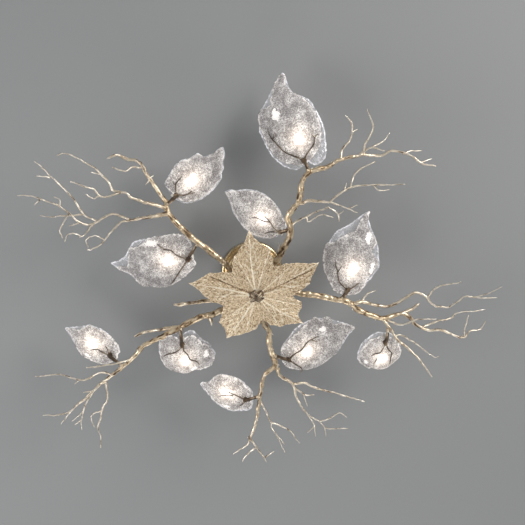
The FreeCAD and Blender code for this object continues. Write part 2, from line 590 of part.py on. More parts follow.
def arm_root(name):
    """Spigot in the hub socket and the swelling that leads into the first limb."""
    outward = socket_direction(name)
    radius, _, route = BRANCHES[name][0]
    spigot_start = outward * (SOCKET_REACH - SPIGOT_LENGTH) + UP * -DROP
    face = outward * SOCKET_REACH + UP * -DROP
    spigot = turned(spigot_start, outward, SPIGOT_LENGTH + 2.0, SPIGOT_RADIUS, SPIGOT_SIDES)
    root = limb([face, place(route[0])], radius, radius, ARM_SIDES, RIDGE, overlap=0)
    return [spigot, root]


def limb_sides(radius):
    if radius > ARM_FROM:
        return ARM_SIDES
    if radius > BRANCH_FROM:
        return BRANCH_SIDES
    return TWIG_SIDES if radius > TWIG_FROM else TIP_SIDES


def make_branch(name, seats):
    parts = arm_root(name) if name in SOCKETED else []
    for k, (start_radius, end_radius, drawn) in enumerate(BRANCHES[name]):
        route = [place(point) for point in drawn]
        ridge = RIDGE if start_radius > ARM_FROM else 1.0
        overlap = 0 if name in SPRAY_PARENT and k == 0 else LIMB_OVERLAP
        parts.append(limb(route, start_radius, end_radius, limb_sides(start_radius), ridge, overlap))
    return join(parts + seats.get(name, []))


def spray_seat(name):
    """Short boss on the parent arm whose end face meets the root of a brazed spray."""
    start_radius, _, drawn = BRANCHES[name][0]
    route = [place(point) for point in drawn]
    run = (route[-1] - route[0]).normalize()
    reach = 16.0
    return limb([route[0] - run * reach, route[0]], start_radius * 1.25, start_radius * 1.25,
                TWIG_SIDES, overlap=0)


# ---------------------------------------------------------------- ceiling fixing and canopy
def make_ceiling_strap():
    half = STRAP_LENGTH / 2
    flat = STRAP_MIDDLE / 2
    t = STRAP_THICKNESS
    low = -STRAP_CRANK
    upper = [(-half, 0), (-flat - STRAP_BEND, 0), (-flat, low), (flat, low), (flat + STRAP_BEND, 0),
             (half, 0)]
    lower = [(half, -t), (flat + STRAP_BEND - t / 2, -t), (flat - t / 2, low - t),
             (-flat + t / 2, low - t), (-flat - STRAP_BEND + t / 2, -t), (-half, -t)]
    outline = [Vector(x, -STRAP_WIDTH / 2, z) for x, z in upper + lower]
    strap = flat_face(outline).extrude(Vector(0, STRAP_WIDTH, 0))
    tube_hole = turned(Vector(0, 0, low - t - 1), UP, t + 2, TUBE_RADIUS + THREAD_FIT)
    cuts = [tube_hole]
    straight = (SLOT_LENGTH - SLOT_WIDTH) / 2
    for side in (-1, 1):
        centre = side * SLOT_SPACING / 2
        cuts.append(Part.makeBox(2 * straight, SLOT_WIDTH, t + 2,
                                 Vector(centre - straight, -SLOT_WIDTH / 2, -t - 1)))
        for end in (-straight, straight):
            cuts.append(Part.makeCylinder(SLOT_WIDTH / 2, t + 2, Vector(centre + end, 0, -t - 1)))
    return strap.cut(join(cuts))


def make_terminal_block():
    top = -STRAP_CRANK - STRAP_THICKNESS
    start = NUT_RADIUS + 3.0
    block = Part.makeBox(BLOCK_LENGTH, BLOCK_WIDTH, BLOCK_HEIGHT,
                         Vector(start, -BLOCK_WIDTH / 2, top - BLOCK_HEIGHT))
    pitch = BLOCK_WIDTH / BLOCK_WAYS
    middle = start + BLOCK_LENGTH / 2
    for way in range(BLOCK_WAYS):
        y = -BLOCK_WIDTH / 2 + pitch * (way + 0.5)
        entry = prism(Vector(start - 1, y, top - BLOCK_HEIGHT * 0.55), Vector(1, 0, 0),
                      BLOCK_LENGTH + 2, 2.0, 4)
        driver = prism(Vector(middle, y, top - BLOCK_HEIGHT - 1), UP, 5.0, 2.2, 4)
        block = block.cut(entry).cut(driver)
    return block


def tube_nut(bottom):
    nut = prism(Vector(0, 0, bottom), UP, NUT_HEIGHT, NUT_RADIUS, 6)
    return nut.cut(turned(Vector(0, 0, bottom - 1), UP, NUT_HEIGHT + 2, TUBE_RADIUS + THREAD_FIT))


def hub_top():
    return HUB_ABOVE - DROP


def make_tube_parts(nodes):
    strap_top = -STRAP_CRANK
    strap_bottom = strap_top - STRAP_THICKNESS
    nut_bottoms = [strap_top, strap_bottom - NUT_HEIGHT, hub_top(),
                   hub_top() - HUB_WALL - NUT_HEIGHT]
    nodes["tube_nuts"] = Part.makeCompound([tube_nut(z) for z in nut_bottoms])
    top = strap_top + NUT_HEIGHT + 1.5
    bottom = nut_bottoms[-1] - 1.5
    tube = turned(Vector(0, 0, bottom), UP, top - bottom, TUBE_RADIUS)
    nodes["down_tube"] = tube.cut(turned(Vector(0, 0, bottom - 1), UP, top - bottom + 2, TUBE_BORE))


def make_canopy():
    """Spun cup: two turned skins, one inside the other, made by rings of facets."""
    w = CANOPY_WALL
    bead = 4.0
    step = CANOPY_STEP_RADIUS
    outside = [(CANOPY_RADIUS, 0), (CANOPY_RADIUS, -CANOPY_RIM + bead),
               (CANOPY_RADIUS - bead, -CANOPY_RIM), (step, -CANOPY_RIM), (step - 2, -CANOPY_DEPTH)]
    inside = [(CANOPY_RADIUS - w, 0), (CANOPY_RADIUS - w, -CANOPY_RIM + bead + w / 2),
              (CANOPY_RADIUS - bead - w / 2, -CANOPY_RIM + w), (step - w, -CANOPY_RIM + w),
              (step - 2 - w, -CANOPY_DEPTH + w)]
    cup = skin([ring(Vector(0, 0, z), UP, r, CANOPY_SIDES) for r, z in outside])
    hollow = skin([ring(Vector(0, 0, z), UP, r, CANOPY_SIDES) for r, z in inside])
    hole = turned(Vector(0, 0, -CANOPY_DEPTH - 1), UP, CANOPY_DEPTH, TUBE_RADIUS + CLEARANCE)
    return cup.cut(hollow).cut(hole)


def make_collar_parts(nodes):
    bottom = -CANOPY_DEPTH - COLLAR_HEIGHT
    collar = turned(Vector(0, 0, bottom), UP, COLLAR_HEIGHT, COLLAR_RADIUS)
    collar = collar.cut(turned(Vector(0, 0, bottom - 1), UP, COLLAR_HEIGHT + 2,
                                  TUBE_RADIUS + SLIDE_FIT))
    centre = Vector(TUBE_RADIUS + SLIDE_FIT, 0, bottom + COLLAR_HEIGHT / 2)
    length = COLLAR_RADIUS + 1.0 - centre.x
    grub_hole = turned(centre - Vector(1, 0, 0), Vector(1, 0, 0), length + 2, GRUB_RADIUS + THREAD_FIT)
    nodes["canopy_collar"] = collar.cut(grub_hole)
    nodes["canopy_grub_screw"] = prism(centre + Vector(CLEARANCE, 0, 0), Vector(1, 0, 0),
                                       length, GRUB_RADIUS, 6)


# ---------------------------------------------------------------- hub
def hub_posts():
    """Angles of the screw posts, midway between sockets where there is room."""
    return [math.radians(a) for a in (45, 112, 262)]


def make_hub_shell():
    top = hub_top()
    floor = -DROP - HUB_BELOW
    height = top - floor
    shell = turned(Vector(0, 0, floor), UP, height, HUB_RADIUS, DRUM_SIDES)
    bosses, bores = [], []
    for name in SOCKETED:
        outward = socket_direction(name)
        start = outward * (HUB_RADIUS - 2 * HUB_WALL) + UP * -DROP
        reach = SOCKET_REACH - HUB_RADIUS + 2 * HUB_WALL
        bosses.append(turned(start, outward, reach, SOCKET_RADIUS, ARM_SIDES))
        bores.append(turned(start - outward * 10, outward, reach + 11, SPIGOT_RADIUS + SPIGOT_FIT,
                            SPIGOT_SIDES))
        screw_at = outward * (SOCKET_REACH - 7.0) + UP * (-DROP - SOCKET_RADIUS - 1)
        bores.append(prism(screw_at, UP, SOCKET_RADIUS, ARM_GRUB_RADIUS + THREAD_FIT, 6))
    hollow = turned(Vector(0, 0, floor - 1), UP, height - HUB_WALL + 1, HUB_RADIUS - HUB_WALL,
                    DRUM_SIDES)
    shell = join([shell] + bosses).cut(hollow)
    posts = [turned(Vector(COVER_SCREW_CIRCLE * math.cos(a), COVER_SCREW_CIRCLE * math.sin(a), floor),
                       UP, height - HUB_WALL / 2, POST_RADIUS, PIN_SIDES) for a in hub_posts()]
    holes = [prism(Vector(COVER_SCREW_CIRCLE * math.cos(a), COVER_SCREW_CIRCLE * math.sin(a), floor - 1),
                   UP, 11, COVER_SCREW_RADIUS + THREAD_FIT, 6) for a in hub_posts()]
    tube_hole = turned(Vector(0, 0, top - HUB_WALL - 1), UP, HUB_WALL + 2, TUBE_RADIUS + THREAD_FIT)
    return join([shell] + posts).cut(Part.makeCompound(bores + holes + [tube_hole]))


def make_arm_screws():
    screws = []
    for name in SOCKETED:
        outward = socket_direction(name)
        bottom = outward * (SOCKET_REACH - 7.0) + UP * (-DROP - SOCKET_RADIUS - 0.5)
        length = SOCKET_RADIUS + 0.5 - SPIGOT_RADIUS - THREAD_FIT
        screws.append(prism(bottom, UP, length, ARM_GRUB_RADIUS, 6))
    return Part.makeCompound(screws)


def make_cover_parts(nodes):
    top = -DROP - HUB_BELOW
    bottom = top - COVER_THICKNESS
    cover = turned(Vector(0, 0, bottom), UP, COVER_THICKNESS, HUB_RADIUS, DRUM_SIDES)
    holes = [turned(Vector(0, 0, bottom - 1), UP, COVER_THICKNESS + 2, STUD_RADIUS + THREAD_FIT)]
    screws = []
    for angle in hub_posts():
        x = COVER_SCREW_CIRCLE * math.cos(angle)
        y = COVER_SCREW_CIRCLE * math.sin(angle)
        holes.append(prism(Vector(x, y, bottom - 1), UP, COVER_THICKNESS + 2,
                           COVER_SCREW_RADIUS + SCREW_FIT, 6))
        shank = prism(Vector(x, y, bottom), UP, COVER_THICKNESS + 8, COVER_SCREW_RADIUS, 6)
        cap = prism(Vector(x, y, bottom - 2.2), UP, 2.2, 3.6, 8)
        screws.append(join([shank, cap]))
    nodes["hub_cover"] = cover.cut(Part.makeCompound(holes))
    nodes["hub_cover_screws"] = Part.makeCompound(screws)


# ---------------------------------------------------------------- maple leaf
def leaf_level():
    """Height of the leaf's flat eye, its underside."""
    return -DROP - LEAF_DROP


def make_maple_leaf():
    """Plate folded along a line from its flat eye to each point of its edge."""
    lower_eye, lower_edge = [], []
    for bearing, reach, rise in LEAF_EDGE:
        out = Vector(math.cos(math.radians(bearing)), math.sin(math.radians(bearing)), 0)
        lower_eye.append(out * LEAF_EYE_RADIUS + UP * leaf_level())
        lower_edge.append(out * reach + UP * (leaf_level() + rise))
    lift = UP * LEAF_THICKNESS
    upper_eye = [point + lift for point in lower_eye]
    upper_edge = [point + lift for point in lower_edge]
    faces = [flat_face(lower_eye), flat_face(upper_eye)]
    count = len(LEAF_EDGE)
    for k in range(count):
        after = (k + 1) % count
        for eye, edge in ((lower_eye, lower_edge), (upper_eye, upper_edge)):
            faces.append(flat_face([eye[k], edge[k], edge[after]]))
            faces.append(flat_face([eye[k], edge[after], eye[after]]))
        faces.append(flat_face([lower_edge[k], lower_edge[after], upper_edge[after], upper_edge[k]]))
    leaf = Part.makeSolid(Part.makeShell(faces))
    if leaf.Volume < 0:
        leaf.reverse()
    bore = turned(Vector(0, 0, leaf_level() - 20), UP, 60, STUD_RADIUS + THREAD_FIT)
    return leaf.cut(bore)


def make_knot():
    """Finial of twisted twig ends that hides the stud."""
    base = leaf_level()
    pieces = [prism(Vector(0, 0, base - KNOT_HEIGHT), UP, KNOT_HEIGHT, KNOT_RADIUS * 0.75, 8,
                    KNOT_RADIUS)]
    twists = (
        (4.0, 3.0, [(-13, -8, -6), (-4, 3, -10), (9, 9, -6)]),
        (4.2, 2.8, [(10, -11, -5), (3, 0, -11), (-8, 12, -5)]),
    )
    for start_radius, end_radius, points in twists:
        route = [Vector(x, y, base + z) for x, y, z in points]
        pieces.append(limb(route, start_radius, end_radius, TWIG_SIDES, overlap=0))
    return join(pieces)


def make_leaf_parts(nodes):
    cover_top = -DROP - HUB_BELOW
    cover_bottom = cover_top - COVER_THICKNESS
    spacer_bottom = leaf_level() + LEAF_THICKNESS
    stud_end = leaf_level() - KNOT_HEIGHT * 0.7
    head = prism(Vector(0, 0, cover_top), UP, STUD_HEAD, STUD_RADIUS * 1.8, 6)
    stud = turned(Vector(0, 0, stud_end), UP, cover_top - stud_end, STUD_RADIUS)
    bore = turned(Vector(0, 0, stud_end - THREAD_FIT), UP, 40, STUD_RADIUS + THREAD_FIT)
    spacer = turned(Vector(0, 0, spacer_bottom), UP, cover_bottom - spacer_bottom, SPACER_RADIUS)
    nodes["leaf_stud"] = join([head, stud])
    nodes["leaf_spacer"] = spacer.cut(bore)
    nodes["maple_leaf"] = make_maple_leaf()
    nodes["leaf_knot"] = make_knot().cut(bore)


# ---------------------------------------------------------------- everything
def main():
    nodes = {"ceiling_strap": make_ceiling_strap(), "terminal_block": make_terminal_block(),
             "canopy": make_canopy(), "hub_shell": make_hub_shell(), "arm_screws": make_arm_screws()}
    make_tube_parts(nodes)
    make_collar_parts(nodes)
    make_cover_parts(nodes)
    make_leaf_parts(nodes)
    seats = {}
    make_shades(nodes, seats)
    for spray, parent in SPRAY_PARENT.items():
        seats.setdefault(parent, []).append(spray_seat(spray))
    for name in BRANCHES:
        nodes[name] = make_branch(name, seats)
    os.makedirs("parts", exist_ok=True)
    for name, shape in nodes.items():
        print(name, "solids", len(shape.Solids), "valid", shape.isValid(),
              "volume", round(shape.Volume))
        shape.exportStep("parts/%s.step" % name)
    print("nodes", len(nodes))


main()
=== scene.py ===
import bpy
import math
import numpy as np
from mathutils import Matrix, Vector, geometry, noise


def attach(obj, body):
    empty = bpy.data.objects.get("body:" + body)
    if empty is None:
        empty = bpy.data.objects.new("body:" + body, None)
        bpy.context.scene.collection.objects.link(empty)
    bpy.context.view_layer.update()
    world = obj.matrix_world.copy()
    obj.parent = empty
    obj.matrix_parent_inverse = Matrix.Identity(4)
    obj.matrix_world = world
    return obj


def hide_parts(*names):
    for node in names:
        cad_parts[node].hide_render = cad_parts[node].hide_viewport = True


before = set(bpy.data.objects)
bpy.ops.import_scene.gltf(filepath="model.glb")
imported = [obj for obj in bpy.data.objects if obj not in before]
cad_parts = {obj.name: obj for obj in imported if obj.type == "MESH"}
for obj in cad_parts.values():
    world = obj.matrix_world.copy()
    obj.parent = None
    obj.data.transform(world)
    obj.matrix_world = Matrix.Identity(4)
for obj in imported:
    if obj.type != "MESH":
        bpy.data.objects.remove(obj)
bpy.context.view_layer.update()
MM = 0.001

# ---------------------------------------------------------------- ceiling, lamps and camera
# The light is held flat to a plain ceiling and is seen from below and a little in front of it,
# so the ceiling stands behind it and takes its soft shadows. It is one-sided, for views from above.
# The camera: its place in metres, the way it looks, and its directions to the right and up.
EYE = Vector((-0.138707, -0.861715, -2.637747))
SIGHT = Vector((0.06055069, 0.30302659, 0.95105652))
ACROSS = Vector((0.99797941, 0.0, -0.06353812))
UPRIGHT = Vector((0.01925374, -0.9529821, 0.3024143))
VIEW_WIDTH, VIEW_FOCUS = 525.0, 1000.0        # the view's width and focal length in pixels


def blank_material(name):
    """A node material with only its output; returns it with its node tree."""
    material = bpy.data.materials.new(name)
    material.use_nodes = True
    tree = material.node_tree
    tree.nodes.clear()
    tree.nodes.new("ShaderNodeOutputMaterial").name = "out"
    return material, tree


def add(tree, kind, **settings):
    """One node with its settings; values for its sockets go in by name or number in 'at'."""
    node = tree.nodes.new(kind)
    sockets = settings.pop("at", {})
    for key, value in settings.items():
        setattr(node, key, value)
    for key, value in sockets.items():
        if isinstance(value, bpy.types.NodeSocket):
            tree.links.new(value, node.inputs[key])
        else:
            node.inputs[key].default_value = value
    return node


def make_ceiling():
    material, tree = blank_material("ceiling_paint")
    mottle = add(tree, "ShaderNodeTexNoise", at={"Scale": 0.9, "Detail": 2.0})
    tone = add(tree, "ShaderNodeValToRGB", at={"Fac": mottle.outputs["Fac"]})
    tone.color_ramp.elements[0].color = (0.225, 0.232, 0.236, 1)
    tone.color_ramp.elements[1].color = (0.315, 0.322, 0.326, 1)
    paint = add(tree, "ShaderNodeBsdfDiffuse", at={"Color": tone.outputs["Color"]})
    side = add(tree, "ShaderNodeNewGeometry")
    clear = add(tree, "ShaderNodeBsdfTransparent")
    both = add(tree, "ShaderNodeMixShader", at={0: side.outputs["Backfacing"],
                                                1: paint.outputs[0], 2: clear.outputs[0]})
    tree.links.new(both.outputs[0], tree.nodes["out"].inputs["Surface"])
    half, height = 9.0, 0.0016
    corners = [(-half, -half, height), (-half, half, height), (half, half, height), (half, -half, height)]
    mesh = bpy.data.meshes.new("ceiling")
    mesh.from_pydata(corners, [], [(0, 1, 2, 3)])
    mesh.materials.append(material)
    ceiling = bpy.data.objects.new("ceiling", mesh)
    bpy.context.scene.collection.objects.link(ceiling)


def soft_lamp(name, place, target, size, power, colour):
    data = bpy.data.lights.new(name, "AREA")
    data.shape, data.size = "DISK", size
    data.energy, data.color = power, colour
    lamp = bpy.data.objects.new(name, data)
    lamp.location = place
    lamp.rotation_euler = (Vector(target) - Vector(place)).to_track_quat("-Z", "Y").to_euler()
    bpy.context.scene.collection.objects.link(lamp)


make_ceiling()
soft_lamp("key_from_right", (2.2, -1.9, -1.9), (0, 0, -0.15), 1.9, 92, (1.0, 0.97, 0.93))
soft_lamp("fill_from_left", (-2.4, 0.4, -1.7), (0, 0, -0.15), 1.8, 46, (1.0, 0.98, 0.96))
soft_lamp("low_back", (0.4, 2.6, -1.2), (0, 0, -0.15), 1.4, 22, (1.0, 0.97, 0.93))
world = bpy.data.worlds.new("soft_room")
world.use_nodes = True
world.node_tree.nodes["Background"].inputs["Color"].default_value = (0.84, 0.86, 0.90, 1)
world.node_tree.nodes["Background"].inputs["Strength"].default_value = 0.34
bpy.context.scene.world = world
bpy.context.scene.view_settings.view_transform = "Standard"

camera_data = bpy.data.cameras.new("camera")
camera_data.sensor_fit, camera_data.sensor_width = "HORIZONTAL", 36.0
camera_data.lens = camera_data.sensor_width * VIEW_FOCUS / VIEW_WIDTH
camera = bpy.data.objects.new("camera", camera_data)
bpy.context.scene.collection.objects.link(camera)
turn = Matrix((ACROSS, UPRIGHT, -SIGHT)).transposed()
camera.matrix_world = Matrix.Translation(EYE) @ turn.to_4x4()
bpy.context.scene.camera = camera

# ---------------------------------------------------------------- ceiling strap and terminal block
# A cranked, zinc-plated steel strap is screwed to the ceiling through its two slots. The white
# moulded terminal block for the mains wires is fixed under it, and both are hidden by the canopy.


def principled(tree, **values):
    """The surface shader, joined to the output; constants stay on its own sockets."""
    shader = tree.nodes.new("ShaderNodeBsdfPrincipled")
    for key, value in values.items():
        socket = shader.inputs[key.replace("_", " ")]
        if isinstance(value, bpy.types.NodeSocket):
            tree.links.new(value, socket)
        else:
            socket.default_value = value
    tree.links.new(shader.outputs[0], tree.nodes["out"].inputs["Surface"])
    return shader


def ramp(tree, factor, *stops):
    """Colour ramp through (place, colour) stops."""
    node = add(tree, "ShaderNodeValToRGB", at={"Fac": factor})
    bar = node.color_ramp
    for k, (place, colour) in enumerate(stops):
        if k > 1:
            bar.elements.new(place)
    for element, (place, colour) in zip(bar.elements, stops):
        element.position = place
        element.color = (*colour, 1)
    return node.outputs["Color"]


def spread(tree, value, low, high, from_low=0.0, from_high=1.0):
    """A value carried from one range to another, and held inside it."""
    node = add(tree, "ShaderNodeMapRange", clamp=True,
               at={"Value": value, "From Min": from_low, "From Max": from_high,
                   "To Min": low, "To Max": high})
    return node.outputs["Result"]


def where(tree):
    return add(tree, "ShaderNodeTexCoord").outputs["Object"]


def fact(tree, name, output="Fac"):
    """One of the mesh's own facts."""
    return add(tree, "ShaderNodeAttribute", attribute_name=name).outputs[output]


def clouds(tree, vector, scale, detail, roughness=0.5, distortion=0.0, output="Fac"):
    """Fractal noise."""
    return add(tree, "ShaderNodeTexNoise",
               at={"Vector": vector, "Scale": scale, "Detail": detail, "Roughness": roughness,
                   "Distortion": distortion}).outputs[output]


def cells(tree, vector, scale, feature="F1"):
    """Distance inside the cells of a broken pattern."""
    return add(tree, "ShaderNodeTexVoronoi", feature=feature,
               at={"Vector": vector, "Scale": scale}).outputs["Distance"]


def reckon(tree, operation, *values, clamp=False):
    return add(tree, "ShaderNodeMath", operation=operation, use_clamp=clamp,
               at=dict(enumerate(values))).outputs[0]


def heap(tree, value, *added, clamp=False):
    """A value with others added to it, each times its weight; clamp holds the last sum in 0 to 1."""
    for k, (other, weight) in enumerate(added, 1):
        value = reckon(tree, "MULTIPLY_ADD", other, weight, value, clamp=clamp and k == len(added))
    return value


def arrow(tree, operation, *values, scale=None):
    """Vector math; LENGTH gives a number and the others a vector."""
    at = dict(enumerate(values))
    if scale is not None:
        at["Scale"] = scale
    node = add(tree, "ShaderNodeVectorMath", operation=operation, at=at)
    return node.outputs["Value" if operation == "LENGTH" else "Vector"]


def blend(tree, share, first, second):
    return add(tree, "ShaderNodeMix", data_type="RGBA",
               at={"Factor": share, 6: first, 7: second}).outputs[2]


def relief(tree, height, strength, distance):
    return add(tree, "ShaderNodeBump", at={"Height": height, "Strength": strength,
                                           "Distance": distance}).outputs["Normal"]


def zinc_plate():
    material, tree = blank_material("plated_steel")
    flakes = cells(tree, where(tree), 420.0)
    cloud = clouds(tree, where(tree), 60.0, 4.0)
    colour = ramp(tree, cloud, (0.3, (0.50, 0.49, 0.46)), (0.7, (0.72, 0.71, 0.68)))
    principled(tree, Base_Color=colour, Metallic=0.9, Roughness=spread(tree, flakes, 0.28, 0.5),
               Normal=relief(tree, flakes, 0.12, 0.0004))
    return material


def terminal_plastic():
    material, tree = blank_material("terminal_plastic")
    grain = clouds(tree, where(tree), 900.0, 3.0)
    colour = ramp(tree, grain, (0.2, (0.80, 0.79, 0.75)), (0.8, (0.90, 0.89, 0.86)))
    principled(tree, Base_Color=colour, Roughness=spread(tree, grain, 0.42, 0.62),
               Normal=relief(tree, grain, 0.15, 0.0002))
    return material


def refinish(node, material):
    """A CAD node that stays gets its material."""
    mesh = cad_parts[node].data
    mesh.materials.clear()
    mesh.materials.append(material)


STEEL = zinc_plate()
for node in ("ceiling_strap", "arm_screws", "canopy_grub_screw", "hub_cover_screws"):
    refinish(node, STEEL)
refinish("terminal_block", terminal_plastic())

# ---------------------------------------------------------------- canopy with its collar
# The canopy is a spun brass cup with a rolled rim, a narrow shadow gap and a stepped-down pan.
# Its turned collar is clamped to the tube by a grub screw, and slides down with the cup.


def stand_in(name, mesh, body, nodes):
    """The object of a mesh that stands for CAD nodes and rides on their body."""
    thing = bpy.data.objects.new(name, mesh)
    bpy.context.scene.collection.objects.link(thing)
    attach(thing, body)
    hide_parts(*nodes)


def piece(name, points, faces, material, body, slot, nodes, smooth=True, facts=None):
    """One finished mesh from its points and faces, with facts for its material on the points."""
    mesh = bpy.data.meshes.new(name)
    mesh.from_pydata([tuple(p) for p in points], [], [tuple(f) for f in faces])
    mesh.materials.append(material)
    mesh.polygons.foreach_set("use_smooth", [smooth] * len(mesh.polygons))
    for label, values in (facts or {}).items():
        values = np.asarray(values, dtype=np.float32)
        kind = "FLOAT" if values.ndim == 1 else "FLOAT_VECTOR"
        layer = mesh.attributes.new(label, kind, "POINT")
        layer.data.foreach_set("value" if values.ndim == 1 else "vector", values.ravel())
    mesh.update()
    stand_in(name, mesh, body, nodes)


def lathe(profile, sides, centre=(0, 0, 0), axis=(0, 0, 1)):
    """Solid turned from an outline of (radius, height) in mm; an open outline ends on the axis."""
    closed = profile[0][0] > 1e-9
    frame_of_axis = Vector(axis).to_track_quat("Z", "Y").to_matrix()
    points, rings = [], []
    for radius, height in profile:
        if radius < 1e-9:
            rings.append([len(points)])
            points.append(Vector((0, 0, height)))
            continue
        rings.append(list(range(len(points), len(points) + sides)))
        for k in range(sides):
            angle = 2 * math.pi * k / sides
            points.append(Vector((radius * math.cos(angle), radius * math.sin(angle), height)))
    faces = []
    pairs = list(zip(rings, rings[1:])) + ([(rings[-1], rings[0])] if closed else [])
    for near, far in pairs:
        for k in range(sides):
            after = (k + 1) % sides
            if len(near) == 1:
                faces.append((near[0], far[after], far[k]))
            elif len(far) == 1:
                faces.append((near[k], near[after], far[0]))
            else:
                faces.append((near[k], near[after], far[after], far[k]))
    centre = Vector(centre)
    return [(frame_of_axis @ p + centre) * MM for p in points], faces


def rounded(corners, radius=0.8, steps=3):
    """Outline with each corner turned to a small round; corners are (radius, height)."""
    out = []
    count = len(corners)
    for k, (x, y) in enumerate(corners):
        here = Vector((x, y))
        if x < 1e-9:
            out.append((x, y))
            continue
        before, after = Vector(corners[k - 1]), Vector(corners[(k + 1) % count])
        one, two = before - here, after - here
        cut = min(radius, one.length * 0.45, two.length * 0.45)
        start, end = here + one.normalized() * cut, here + two.normalized() * cut
        for s in range(steps + 1):
            t = s / steps
            spot = start * (1 - t) ** 2 + here * 2 * t * (1 - t) + end * t ** 2
            out.append((max(spot.x, 0.0), spot.y))
    return out


def gather(parts):
    """Several (points, faces) joined into one."""
    points, faces = [], []
    for some_points, some_faces in parts:
        base = len(points)
        points += list(some_points)
        faces += [tuple(i + base for i in f) for f in some_faces]
    return points, faces


def lacquered_brass(name, low, high, roughness, ring_depth):
    """Spun or turned brass: fine rings from the lathe, small cloudy changes in the polish."""
    material, tree = blank_material(name)
    spot = where(tree)
    cloud = clouds(tree, spot, 34.0, 5.0, 0.62)
    reach = arrow(tree, "LENGTH", arrow(tree, "MULTIPLY", spot, (1, 1, 0)))
    lines = add(tree, "ShaderNodeTexNoise", noise_dimensions="1D",
                at={"W": reach, "Scale": 1600.0, "Detail": 2.0})
    tarnish = reckon(tree, "MULTIPLY", cloud, clouds(tree, spot, 240.0, 3.0))
    principled(tree, Base_Color=ramp(tree, tarnish, (0.10, low), (0.36, high)), Metallic=0.92,
               Roughness=spread(tree, cloud, roughness * 1.5, roughness * 0.75, 0.3, 0.7),
               Normal=relief(tree, lines.outputs["Fac"], 0.25, ring_depth))
    return material


POLISHED = lacquered_brass("polished_brass", (0.46, 0.33, 0.17), (0.86, 0.70, 0.44), 0.24, 0.0002)
TURNED = lacquered_brass("turned_brass", (0.36, 0.27, 0.17), (0.72, 0.59, 0.40), 0.36, 0.0003)

# outline of the cup, as radius and height in mm: inside, rim, shadow gap, side and pan
CANOPY = [(5.6, -28.8), (68.6, -28.8), (70.2, -10.4), (71.2, -7.2), (78.6, -7.2), (82.6, -4.6),
          (82.8, -0.2), (84.0, -0.2), (84.2, -3.4), (83.4, -6.6), (81.6, -8.6), (79.2, -9.3),
          (77.0, -8.9), (75.6, -8.0), (73.6, -8.0), (72.6, -9.2), (71.9, -12.0), (71.2, -25.6),
          (70.2, -28.4), (67.6, -30.0), (63.5, -30.0), (62.6, -29.5), (61.7, -30.0), (5.6, -30.0)]
cup = lathe(CANOPY, 160)
piece("spun_canopy", *cup, POLISHED, "canopy_slide", "polished_brass", ["canopy"])
collar = lathe(rounded([(5.15, -30.05), (11.0, -30.05), (11.0, -33.4), (10.2, -34.2), (10.2, -36.2),
                        (11.0, -37.0), (11.0, -40.0), (5.15, -40.0)], 0.5)[::-1], 48)
piece("clamp_collar", *collar, POLISHED, "canopy_slide", "polished_brass", ["canopy_collar"])

# ---------------------------------------------------------------- down tube and its nuts
# A brass tube carries the whole light and the wires. It is held by a pair of hexagon nuts at the
# strap and another pair at the top of the hub.
TUBE_BORE, TUBE_RADIUS, TUBE_TOP, TUBE_END = 3.6, 5.0, -2.0, -162.9
NUT_CORNER, NUT_FACE, NUT_EDGE, NUT_BORE = 9.0, 7.7, 8.9, 5.06
NUT_HEIGHT, NUT_CHAMFER = 4.5, 0.9
tube = lathe(rounded([(TUBE_BORE, TUBE_END), (TUBE_RADIUS, TUBE_END), (TUBE_RADIUS, TUBE_TOP),
                      (TUBE_BORE, TUBE_TOP)], 0.4)[::-1], 40)
piece("brass_tube", *tube, POLISHED, "fixture", "polished_brass", ["down_tube"])


def hexagon_nut(bottom):
    """Chamfered hexagon nut with a round bore."""
    sides, points, faces = 48, [], []
    rows = [("bore", 0.0), ("land", 0.0), ("flat", NUT_CHAMFER), ("flat", NUT_HEIGHT - NUT_CHAMFER),
            ("land", NUT_HEIGHT), ("bore", NUT_HEIGHT)]
    sixth = math.pi / 3
    for kind, height in rows:
        for k in range(sides):
            angle = 2 * math.pi * k / sides
            flat = NUT_CORNER * math.cos(sixth / 2) / math.cos((angle % sixth) - sixth / 2)
            radius = {"bore": NUT_BORE, "land": min(flat, NUT_FACE), "flat": min(flat, NUT_EDGE)}[kind]
            points.append(Vector((radius * math.cos(angle), radius * math.sin(angle),
                                  bottom + height)) * MM)
    for row in range(len(rows)):
        for k in range(sides):
            after, up = (k + 1) % sides, (row + 1) % len(rows)
            faces.append((row * sides + k, row * sides + after, up * sides + after, up * sides + k))
    return points, faces


nuts = gather([hexagon_nut(z) for z in (-8.0, -14.5, -152.0, -159.5)])
piece("hexagon_nuts", *nuts, POLISHED, "fixture", "polished_brass", ["tube_nuts"], smooth=False)

# ---------------------------------------------------------------- hub with its cover
# The hub is a turned brass drum with a bossed socket for each arm, closed below by a turned plate.
# Three screws hold the plate, and a stud in its middle carries the maple leaf on a spacer.
SOCKET_AIMS = {"arm_upper_left": (-60, -50), "arm_upper_right": (46, -64), "arm_right": (78, 6),
               "arm_bottom": (17, 76), "arm_lower_left": (-72, 44), "stub_left": (-78, 6)}
AXIS_HEIGHT = -168.0
HUB_TOP, HUB_RIM, HUB_RADIUS, HUB_WALL = -152.0, -188.0, 40.0, 3.0
GROOVE = HUB_RADIUS - 0.6
drum = [lathe(rounded([(NUT_BORE, HUB_TOP), (NUT_BORE, HUB_TOP - HUB_WALL),
                       (HUB_RADIUS - HUB_WALL, HUB_TOP - HUB_WALL), (HUB_RADIUS - HUB_WALL, HUB_RIM),
                       (HUB_RADIUS, HUB_RIM), (HUB_RADIUS, -184.6), (GROOVE, -184.0),
                       (GROOVE, -182.6), (HUB_RADIUS, -182.0), (HUB_RADIUS, HUB_TOP)], 0.6), 96)]
